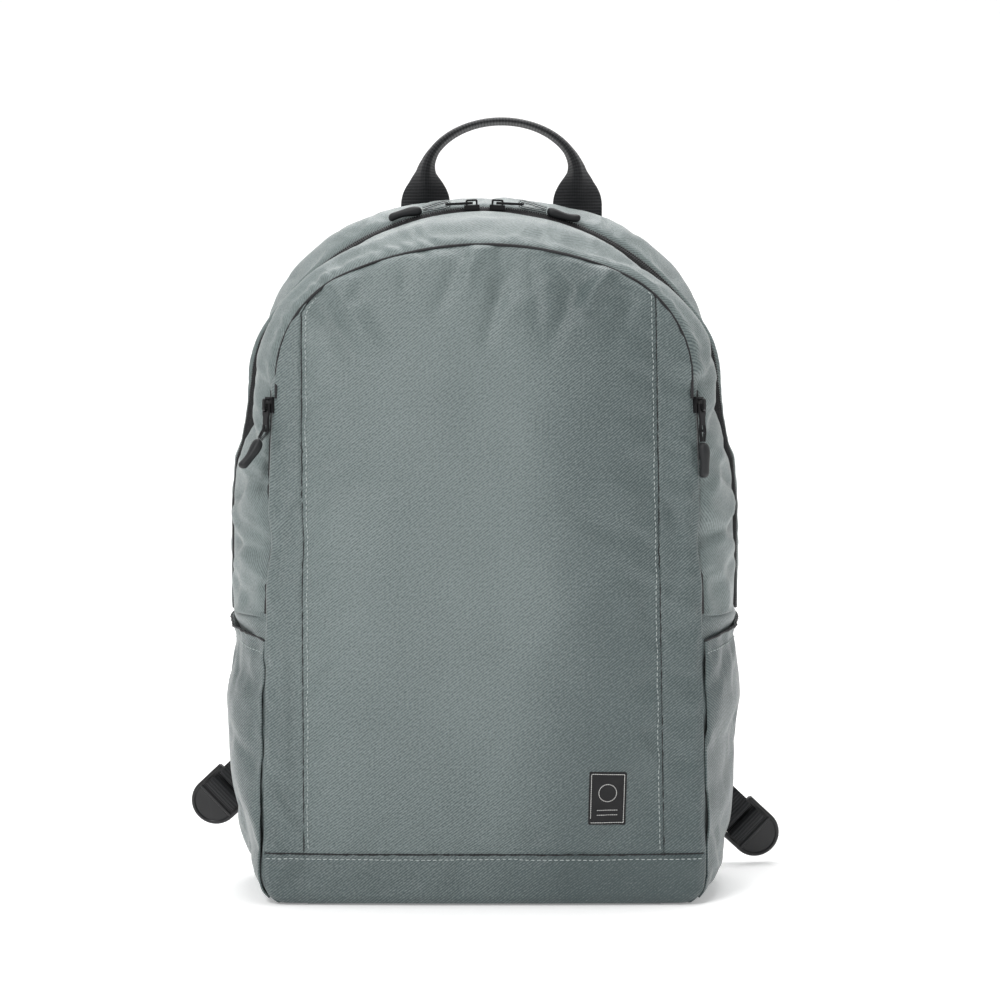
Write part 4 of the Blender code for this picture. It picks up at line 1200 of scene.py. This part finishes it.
def short_cord(name, node):
    """The loop of cord of a pocket pull, mostly swallowed by its grip."""
    points = coordinates_of(node.data)
    tab = coordinates_of(NODES[name.replace("_cord", "_tab")].data).mean(axis=0)
    grip_at = coordinates_of(NODES[name.replace("_cord", "_grip")].data).mean(axis=0)
    start = points[np.argmin(np.linalg.norm(points - tab, axis=1))]
    axis = (grip_at - points.mean(axis=0)) / np.linalg.norm(grip_at - points.mean(axis=0))
    reach = (points - start) @ axis
    mesh = node.data.copy()
    move_to(mesh, points - np.outer(reach * SHORTER / reach.max(), axis))
    mesh.materials.clear()
    obj = new_object(name + "_loop", mesh, CORD)
    fuller(obj, 0.00045)
    declare(obj, pull_body(name), "webbing", name)


def give(obj, material, bevel=0.0):
    """A finish for a CAD node, and softened edges if bevel is set."""
    obj.data.materials.clear()
    obj.data.materials.append(material)
    if bevel:
        weld = obj.modifiers.new("weld", "WELD")
        weld.merge_threshold = 1e-5
        edges = obj.modifiers.new("edges", "BEVEL")
        edges.width = bevel
        edges.segments = 2
        edges.limit_method = "ANGLE"
        edges.angle_limit = math.radians(40)


# ---------------------------------------------------------------- handle, label


HANDLE_Y, HANDLE_FOOT_Z, HANDLE_LEG_X = 0.0757, 0.4335, 0.051
HANDLE_ARCH_Z, HANDLE_RISE = 0.466, 0.0370
HANDLE_SHIFT = 0.011
HANDLE_HALF, HANDLE_THICK = 0.0165, 0.0012
FOLD_RISES = (0.0, 0.012, 0.016, 0.021, 0.029, 0.0355, 0.042, 0.05)
FOLD_DEGREES = (0.0, 2, 14, 28, 55, 73, 80, 84)


def grab_handle():
    """Webbing sewn flat at both ends, and folded lengthwise so that its two layers meet over the middle."""
    legs = [Vector((-HANDLE_LEG_X, HANDLE_Y, z)) for z in (HANDLE_FOOT_Z, 0.441, 0.448, 0.454, 0.460)]
    arch = [Vector((-HANDLE_LEG_X * math.cos(a), HANDLE_Y, HANDLE_ARCH_Z + HANDLE_RISE * math.sin(a)))
            for a in [math.pi * k / 20 for k in range(21)]]
    path = smooth_path(legs + arch + [Vector((-p.x, p.y, p.z)) for p in legs[::-1]], 121)
    rings = []
    for p, t in zip(path, tangents(path)):
        rise = p.z - HANDLE_FOOT_Z
        fold = math.radians(float(np.interp(rise, FOLD_RISES, FOLD_DEGREES)))
        open_by = float(np.interp(rise, (0.040, 0.068), (0.0017, 0.0006))) * math.sin(fold)
        n = t.cross(BACKWARD).normalized()
        centre = p + Vector((HANDLE_SHIFT, -HANDLE_HALF * 0.5 * math.sin(fold), 0))
        outer, inner = [], []
        for k in np.linspace(-1, 1, 17):
            bend = min(abs(k) / 0.10, 1)
            reach = HANDLE_HALF * abs(k)
            a = fold * bend
            side = math.copysign(1, k) if k else 0
            spread = reach * math.cos(a) + open_by * bend
            at = centre + n * (side * spread) + BACKWARD * (reach * math.sin(a))
            face = (BACKWARD * math.cos(a) - n * (side * math.sin(a))) if k else BACKWARD
            outer.append(at - face * HANDLE_THICK / 2)
            inner.append(at + face * HANDLE_THICK / 2)
        rings.append(outer + inner[::-1])
    smoothed(skin_piece("handle_webbing", rings, WEB, "handle", "webbing", "grab_handle"))
    for side, sign in SIDES.items():
        x = sign * HANDLE_LEG_X + HANDLE_SHIFT
        path = [Vector((x, HANDLE_Y - 0.0014, z)) for z in np.linspace(0.4346, 0.4240, 8)]
        rings = ribbon_rings(path, lambda s: 0.0335, 0.0012, lambda s: Vector((1, 0, 0)))
        skin_piece(f"handle_foot_{side}", rings, WEB, "pack", "webbing")


LABEL_THREAD_LIFT = 0.00095


def woven_label(front_obj):
    """A woven label with a pale border round a plain ring, sewn flat on the cloth."""
    points = coordinates_of(front_obj.data)

    def on_cloth(x, z, lift):
        d = (points[:, 0] - x) ** 2 + (points[:, 2] - z) ** 2
        near = np.argsort(d)[:4]
        weight = 1 / (d[near] + 1e-7)
        return Vector((x, float((points[near, 1] * weight).sum() / weight.sum()) - lift, z))

    cx, cz, hw, hh = 0.0775, 0.0695, 0.0118, 0.0168
    turn = math.radians(-1.5)

    def place(u, v, lift):
        x = cx + u * math.cos(turn) - v * math.sin(turn)
        z = cz + u * math.sin(turn) + v * math.cos(turn)
        return on_cloth(x, z, lift)

    rows = [[place(u, v, 0.0008 - 0.0004 * max(abs(u) / hw, abs(v) / hh) ** 8)
             for u in np.linspace(-hw, hw, 15)] for v in np.linspace(-hh, hh, 21)]
    patch = new_object("label_cloth", grid_mesh("label_cloth", rows, lambda p: FORWARD), LABEL_CLOTH)
    thicken(patch, 0.0007)
    declare(patch, "pack", "label_weave", "woven_label")
    lines = []
    bw, bh = hw - 0.0014, hh - 0.0014
    corners = [(-bw, -bh), (bw, -bh), (bw, bh), (-bw, bh), (-bw, -bh)]
    lines.append([place(a[0] + (b[0] - a[0]) * t, a[1] + (b[1] - a[1]) * t, LABEL_THREAD_LIFT)
                  for a, b in zip(corners, corners[1:]) for t in np.linspace(0, 1, 13)[:-1]])
    lines.append([place(0.0056 * math.cos(a), 0.0035 + 0.0056 * math.sin(a), LABEL_THREAD_LIFT)
                  for a in np.linspace(0, 2 * math.pi, 40)])
    for v in (-0.0075, -0.0105):
        lines.append([place(u, v, LABEL_THREAD_LIFT) for u in np.linspace(-0.0066, 0.0066, 12)])
    rows_of = [[(p, FORWARD) for p in line] for line in lines]
    stitches("label_border", rows_of, LABEL_THREAD, "pack", "label_weave", 0.0011, 0.0001, 0.00022)


# ---------------------------------------------------------------- back, straps


PAD_CORNER = 0.014


def flat_pad(name, low, high, crown, channels, node):
    """A back pad: mesh cloth over foam, pulled down at its edge and along its sewn channels."""
    low, size = Vector(low), Vector(high) - Vector(low)
    xs = np.concatenate([[0, 0.012, 0.035], np.linspace(0.07, 0.93, 26), [0.965, 0.988, 1]])
    zs = np.concatenate([[0, 0.004, 0.012], np.linspace(0.025, 0.975, 78), [0.988, 0.996, 1]])
    rows = []
    for v in zs:
        row = []
        for u in xs:
            x, z = low.x + size.x * u, low.z + size.z * v
            corner = [max(abs(share - 0.5) * length - (length / 2 - PAD_CORNER), 0)
                      for share, length in ((u, size.x), (v, size.z))]
            over = math.hypot(*corner)
            if over > PAD_CORNER:
                scale = PAD_CORNER / over
                x -= math.copysign(corner[0] * (1 - scale), u - 0.5)
                z -= math.copysign(corner[1] * (1 - scale), v - 0.5)
            edge = min(u * size.x, (1 - u) * size.x, v * size.z, (1 - v) * size.z)
            rise = min(edge / 0.011, 1)
            height = size.y * (0.22 + 0.78 * math.sin(math.pi / 2 * rise) ** 0.7)
            height += crown * math.sin(math.pi * u) * 0.5
            for c in channels:
                height -= 0.0042 * bell(z - c, 0.0035)
            height += 0.0003 * cloudy(x * 60, 0, z * 60)
            row.append(Vector((x, low.y + max(height, 0.0012), z)))
        rows.append(row)
    obj = new_object(name, grid_mesh(name, rows, lambda p: BACKWARD), MESH_CLOTH)
    held = edges_held(len(rows), len(xs), 2)
    simulate(obj, held.ravel(), 1.2, 0.006, 0.0012, 8, 2.0)
    thicken(obj, 0.001)
    declare(obj, "pack", "back_mesh", node)


BACK_CLOTH_Y = 0.0733
PAD_Y = BACK_CLOTH_Y + 0.0004


def back():
    """The back: a quilted panel inside a bound edge, two mesh pads and the yoke over the straps' tops."""
    line = [Vector((p.x, 0, p.z)) for p in arch_row(1.0, 121)]
    line += [Vector((half_width(1, z), 0, z)) for z in np.linspace(0.176, WALL_FOOT, 20)]
    corner_x = half_width(1, WALL_FOOT)
    line += [Vector((x, 0, WALL_FOOT)) for x in np.linspace(corner_x, -corner_x, 40)[1:-1]]
    line += [Vector((-half_width(1, z), 0, z)) for z in np.linspace(WALL_FOOT, 0.176, 20)]
    loop = resample(line + [line[0]], 221)[:-1]
    middle = Vector((0, 0, 0.22))
    rings = []
    rounded = [(1.0, 0.0686), (0.998, 0.0712), (0.985, 0.0730)]
    for share, y in rounded + [(s, BACK_CLOTH_Y) for s in (0.96, 0.9, 0.8, 0.65, 0.5, 0.35, 0.2, 0.08)]:
        rings.append([middle.lerp(p, share) + BACKWARD * y for p in loop])
    mesh = bpy.data.meshes.new("back_cloth")
    count = len(loop)
    flat = [p for points in rings for p in points] + [middle + BACKWARD * BACK_CLOTH_Y]
    steps = [(j, (j + 1) % count) for j in range(count)]
    faces = [(row + j, row + k, row + count + k, row + count + j)
             for row in range(0, (len(rings) - 1) * count, count) for j, k in steps]
    last = (len(rings) - 1) * count
    faces += [(last + j, last + k, len(flat) - 1) for j, k in steps]
    mesh.from_pydata([tuple(p) for p in flat], [], faces)
    uvs_from(mesh, lambda p: (p.x, p.z))
    bm = bmesh.new()
    bm.from_mesh(mesh)
    bmesh.ops.recalc_face_normals(bm, faces=bm.faces)
    if sum(f.normal.y * f.calc_area() for f in bm.faces) < 0:
        bmesh.ops.reverse_faces(bm, faces=bm.faces)
    bm.to_mesh(mesh)
    bm.free()
    mesh.shade_smooth()
    back_cloth = new_object("back_cloth", mesh, SHELL)
    thicken(back_cloth, 0.0015, False)
    declare(back_cloth, "pack", "shell_twill", "back_panel")
    edge = [p + BACKWARD * 0.0700 for p in loop]
    rings = []
    for i, p in enumerate(edge):
        t = (edge[(i + 1) % count] - edge[i - 1]).normalized()
        out = t.cross(BACKWARD).normalized()
        if out.dot(p - middle) < 0:
            out = -out
        rings.append(ring(p - out * 0.0016, out, BACKWARD, 0.0022, 0.0034, 10))
    rings.append(rings[0])
    bound = new_object("back_binding", tube_mesh("back_binding", rings, False), BINDING)
    declare(bound, "pack", "shell_twill")
    for side in SIDES:
        node = f"back_pad_{side}"
        low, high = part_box(node)
        flat_pad(f"back_cushion_{side}", (low[0], PAD_Y, low[2]), (high[0], high[1] - 0.0006, high[2]), 0.001,
                 [0.124, 0.186, 0.248, 0.310], node)
    low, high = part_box("strap_yoke")
    flat_pad("yoke_pad", (low[0], PAD_Y, low[2]), (high[0], high[1] - 0.0004, high[2]), 0.0005, [],
             "strap_yoke")


STRAP_ROUTE = ((0.038, 0.0845, 0.408), (0.044, 0.092, 0.365), (0.052, 0.0985, 0.310), (0.058, 0.102, 0.250),
               (0.063, 0.103, 0.195), (0.073, 0.101, 0.155), (0.090, 0.098, 0.128))
BUCKLE_HEIGHT = {"left": 0.056, "right": 0.034}
BUCKLE_X, BUCKLE_Y = 0.170, 0.082
WEBBING_WIDTH = 0.024
STRAP_SHARES = (0, 0.15, 0.45, 0.75, 0.92, 1)
STRAP_HALF_WIDTHS = (0.024, 0.028, 0.030, 0.027, 0.020, 0.015)
STRAP_THICK_SHARES = (0, 0.06, 0.1, 0.9, 0.95, 1)
STRAP_HALF_THICKS = (0.0025, 0.0045, 0.0053, 0.0053, 0.0042, 0.0022)


def mirrored(point, side):
    return Vector((SIDES[side] * point[0], point[1], point[2]))


def shoulder_straps():
    """Padded straps with bound edges and a row of stitches inside each."""
    for side in SIDES:
        body = f"strap_{side}"
        path = smooth_path([mirrored(p, side) for p in STRAP_ROUTE], 61)
        rings, edge_lines, binding = [], ([], []), ([], [])
        for i, (p, t) in enumerate(zip(path, tangents(path))):
            share = i / 60
            across = BACKWARD.cross(t).normalized()
            out = t.cross(across).normalized()
            width = float(np.interp(share, STRAP_SHARES, STRAP_HALF_WIDTHS))
            thick = float(np.interp(share, STRAP_THICK_SHARES, STRAP_HALF_THICKS))
            section = []
            for a in full_turn(32):
                x = squared(math.cos(a), 0.8)
                swell = 0.35 + 0.65 * (1 - abs(x) ** 3.2)
                y = squared(math.sin(a), 0.55) * swell
                section.append(p + across * (width * x * 0.985) + out * (thick * y))
            rings.append(section)
            for k, sign in enumerate((1, -1)):
                binding[k].append((p + across * (sign * width * 0.975), across * sign, out))
                stitch = p + across * (sign * (width - 0.0062)) + BACKWARD * (thick * 0.80)
                edge_lines[k].append((stitch, BACKWARD))
        pad = skin_piece(f"strap_cushion_{side}", rings, MESH_CLOTH, body, "back_mesh", f"strap_pad_{side}")
        smoothed(pad)
        stitches(f"strap_topstitch_{side}", [line[2:-2] for line in edge_lines], BLACK_THREAD_AND_SEAM_SHADOW, body,
                 "webbing", 0.003, 0.0014, 0.0004)
        for letter, line in zip("ab", binding):
            rings = [[p + across * (0.0016 * math.cos(a) - 0.0007)
                      + out * (0.0029 * squared(math.sin(a), 0.7)) for a in full_turn(12)]
                     for p, across, out in line]
            skin_piece(f"strap_binding_{letter}_{side}", rings, BINDING, body, "webbing")


def buckle_frame(side):
    """A ladder lock's frame: X along its webbing, Y along its bars and Z out of its face."""
    sign = SIDES[side]
    along = Vector((sign * 0.70, 0.25, -0.67)).normalized()
    out = (FORWARD - FORWARD.dot(along) * along).normalized()
    matrix = Matrix((along, out.cross(along), out)).transposed().to_4x4()
    matrix.translation = Vector((sign * BUCKLE_X, BUCKLE_Y, BUCKLE_HEIGHT[side]))
    return matrix


def lock_rims():
    """The thicker rim round each ladder lock's lip, and the raised bar the webbing bears on."""
    half = 0.0148
    lip = [(0.020 + 0.0152 * math.sin(a), half * math.cos(a)) for a in [math.pi * k / 20 for k in range(21)]]
    legs = (-0.0010, 0.006, 0.013)
    outline = [*((x, half) for x in legs), *lip, *((x, -half) for x in legs[::-1])]
    bar = [(0.0190, y) for y in np.linspace(-half, half, 9)]
    step = [(0.0262, y) for y in np.linspace(-0.0115, 0.0115, 9)]
    for side in SIDES:
        m = buckle_frame(side)
        up = m.to_3x3() @ Vector((0, 0, 1))
        for name, local, radius in (("rim", outline, 0.0021), ("bar", bar, 0.0022), ("step", step, 0.0012)):
            path = [m @ Vector((x, y, 0.0004)) for x, y in local]
            rings = [ring(p, t.cross(up).normalized(), up, radius * 0.8, radius, 12)
                     for p, t in zip(path, tangents(path))]
            skin_piece(f"lock_{name}_{side}", rings, PLASTIC, f"buckle_{side}", "buckle_plastic")


def ribbon_rings(path, width, thickness, across, square=True):
    """Sections of webbing along path. square turns each one square to the path."""
    rings = []
    for i, (p, t) in enumerate(zip(path, tangents(path))):
        share = i / (len(path) - 1)
        b = Vector(across(share))
        b = (b - b.dot(t) * t * square).normalized()
        n = t.cross(b).normalized()
        w, h = width(share) / 2, thickness / 2
        rings.append([p + b * (w * k * way) + n * (h * way * (1 - 0.55 * abs(k) ** 8))
                      for way in (1, -1) for k in np.linspace(-1, 1, 9)])
    return rings


TAB_ROOT_WIDTH = 0.046


def lower_straps():
    """The sewn tab and the adjuster webbing of each side, following their solids."""
    for side, sign in SIDES.items():
        m = buckle_frame(side)
        bar = m.to_3x3() @ Vector((0, 1, 0))
        up_bar = bar if bar.z > 0 else -bar
        root = Vector((sign * 0.1395, 0.0768, BUCKLE_HEIGHT[side] + 0.021))
        local = [(-0.012, 0.0021), (-0.006, 0.0022), (-0.0026, 0.0026), (0.0, 0.0031), (0.0023, 0.0021),
                 (0.0031, 0.0), (0.0023, -0.0021), (0.0, -0.0031), (-0.0026, -0.0026), (-0.006, -0.0022),
                 (-0.010, -0.0021)]
        loop = [m @ Vector((x, 0, z)) for x, z in local]
        path = smooth_path([root, root.lerp(loop[0], 0.33), root.lerp(loop[0], 0.66), *loop], 60)
        total = path_length(path)
        lead = (root - loop[0]).length / total
        narrowing = WEBBING_WIDTH - TAB_ROOT_WIDTH
        rings = ribbon_rings(path, lambda s: TAB_ROOT_WIDTH + narrowing * min(s / lead, 1), 0.0012,
                             lambda s: Vector((0, 0, 1)).lerp(up_bar, min(s / lead, 1)), square=False)
        skin_piece(f"tab_webbing_{side}", rings, WEB, "pack", "webbing", f"strap_tab_{side}")
        local = [(-0.034, -0.0150), (-0.020, -0.0126), (-0.006, -0.0102), (0.006, -0.0082), (0.0115, -0.0064),
                 (0.0160, -0.0036), (0.0166, 0.0), (0.0148, 0.0027), (0.0105, 0.0034), (0.0069, 0.0027),
                 (0.0059, 0.0), (0.0052, -0.0028), (0.0022, -0.0048), (-0.004, -0.0055), (-0.016, -0.0068)]
        near = [m @ Vector((x, 0, z)) for x, z in local]
        pad_end = mirrored((0.0925, 0.0985, 0.1235), side)
        heading = (pad_end - mirrored((0.082, 0.0998, 0.136), side)).normalized()
        bow = Vector((sign * 0.009, 0, 0.006))
        far = [near[-1].lerp(pad_end, 0.35) + bow, near[-1].lerp(pad_end, 0.7) + bow * 0.6, pad_end,
               pad_end - heading * 0.012]
        path = smooth_path(near + far, 130)
        pad_across = BACKWARD.cross(heading)
        if pad_across.dot(bar) < 0:
            pad_across = -pad_across
        rings = ribbon_rings(path, lambda s: 0.0252 if s < 0.35 else WEBBING_WIDTH, 0.0014,
                             lambda s: bar.lerp(pad_across, clamp((s - 0.55) / 0.45)))
        name = f"adjuster_webbing_{side}"
        web = new_object(name, tube_mesh(name, rings), WEB)
        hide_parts(f"strap_webbing_{side}")
        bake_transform(web)


# ---------------------------------------------------------------- studio


def studio():
    """White floor that curves up behind, soft lamps, and the camera in front."""
    scene = bpy.context.scene
    scene.view_settings.view_transform = "Standard"
    bm = bmesh.new()
    profile = [(-40, 0), (1.6, 0), (2.3, 0.12), (2.8, 0.6), (3.0, 1.4), (3.0, 5)]
    rows = [[bm.verts.new((x, y, z)) for x in (-40, 40)] for y, z in profile]
    for a, b in zip(rows, rows[1:]):
        bm.faces.new((a[0], a[1], b[1], b[0]))
    mesh = bpy.data.meshes.new("floor")
    bm.to_mesh(mesh)
    bm.free()
    mesh.shade_smooth()
    floor = bpy.data.objects.new("floor", mesh)
    scene.collection.objects.link(floor)
    g = Graph("floor_paper", (0.95, 0.95, 0.95), 0.9)
    g.shader.inputs["Emission Color"].default_value = (1, 1, 1, 1)
    g.shader.inputs["Emission Strength"].default_value = 0.26
    g.shader.inputs["Specular IOR Level"].default_value = 0.05
    floor.data.materials.append(g.material)
    world = bpy.data.worlds.new("studio")
    world.use_nodes = True
    world.node_tree.nodes["Background"].inputs["Color"].default_value = (1, 1, 1, 1)
    world.node_tree.nodes["Background"].inputs["Strength"].default_value = 0.34
    scene.world = world
    for name, place, size, power in (("key", (-1.0, -1.9, 2.1), 0.8, 36), ("top", (0.1, 0.3, 2.4), 1.3, 34),
                                     ("fill", (1.9, -1.8, 1.0), 1.6, 2), ("back", (0.0, 2.0, 1.8), 1.5, 16)):
        light = bpy.data.lights.new(name, "AREA")
        light.shape = "SQUARE"
        light.size = size
        light.energy = power
        lamp = bpy.data.objects.new(name, light)
        scene.collection.objects.link(lamp)
        lamp.location = place
        aim = Vector((0, 0, 0.22)) - Vector(place)
        lamp.rotation_euler = aim.to_track_quat("-Z", "Y").to_euler()
    camera = bpy.data.cameras.new("camera")
    camera.lens = 114.8
    camera.sensor_width = 36
    eye = bpy.data.objects.new("camera", camera)
    scene.collection.objects.link(eye)
    eye.location = (0.010, FRONT_FOOT_Y - 2.0, 0.366)
    eye.rotation_euler = (math.radians(90 - 3.134), 0, 0)
    scene.camera = eye


# ---------------------------------------------------------------- assembly


def main():
    studio()
    front_obj = front()
    gussets()
    seam_line()
    side_panels()
    side_pockets()
    base()
    main_zip()
    pocket_zips()
    hardware()
    grab_handle()
    woven_label(front_obj)
    back()
    shoulder_straps()
    lower_straps()
    lock_rims()


main()
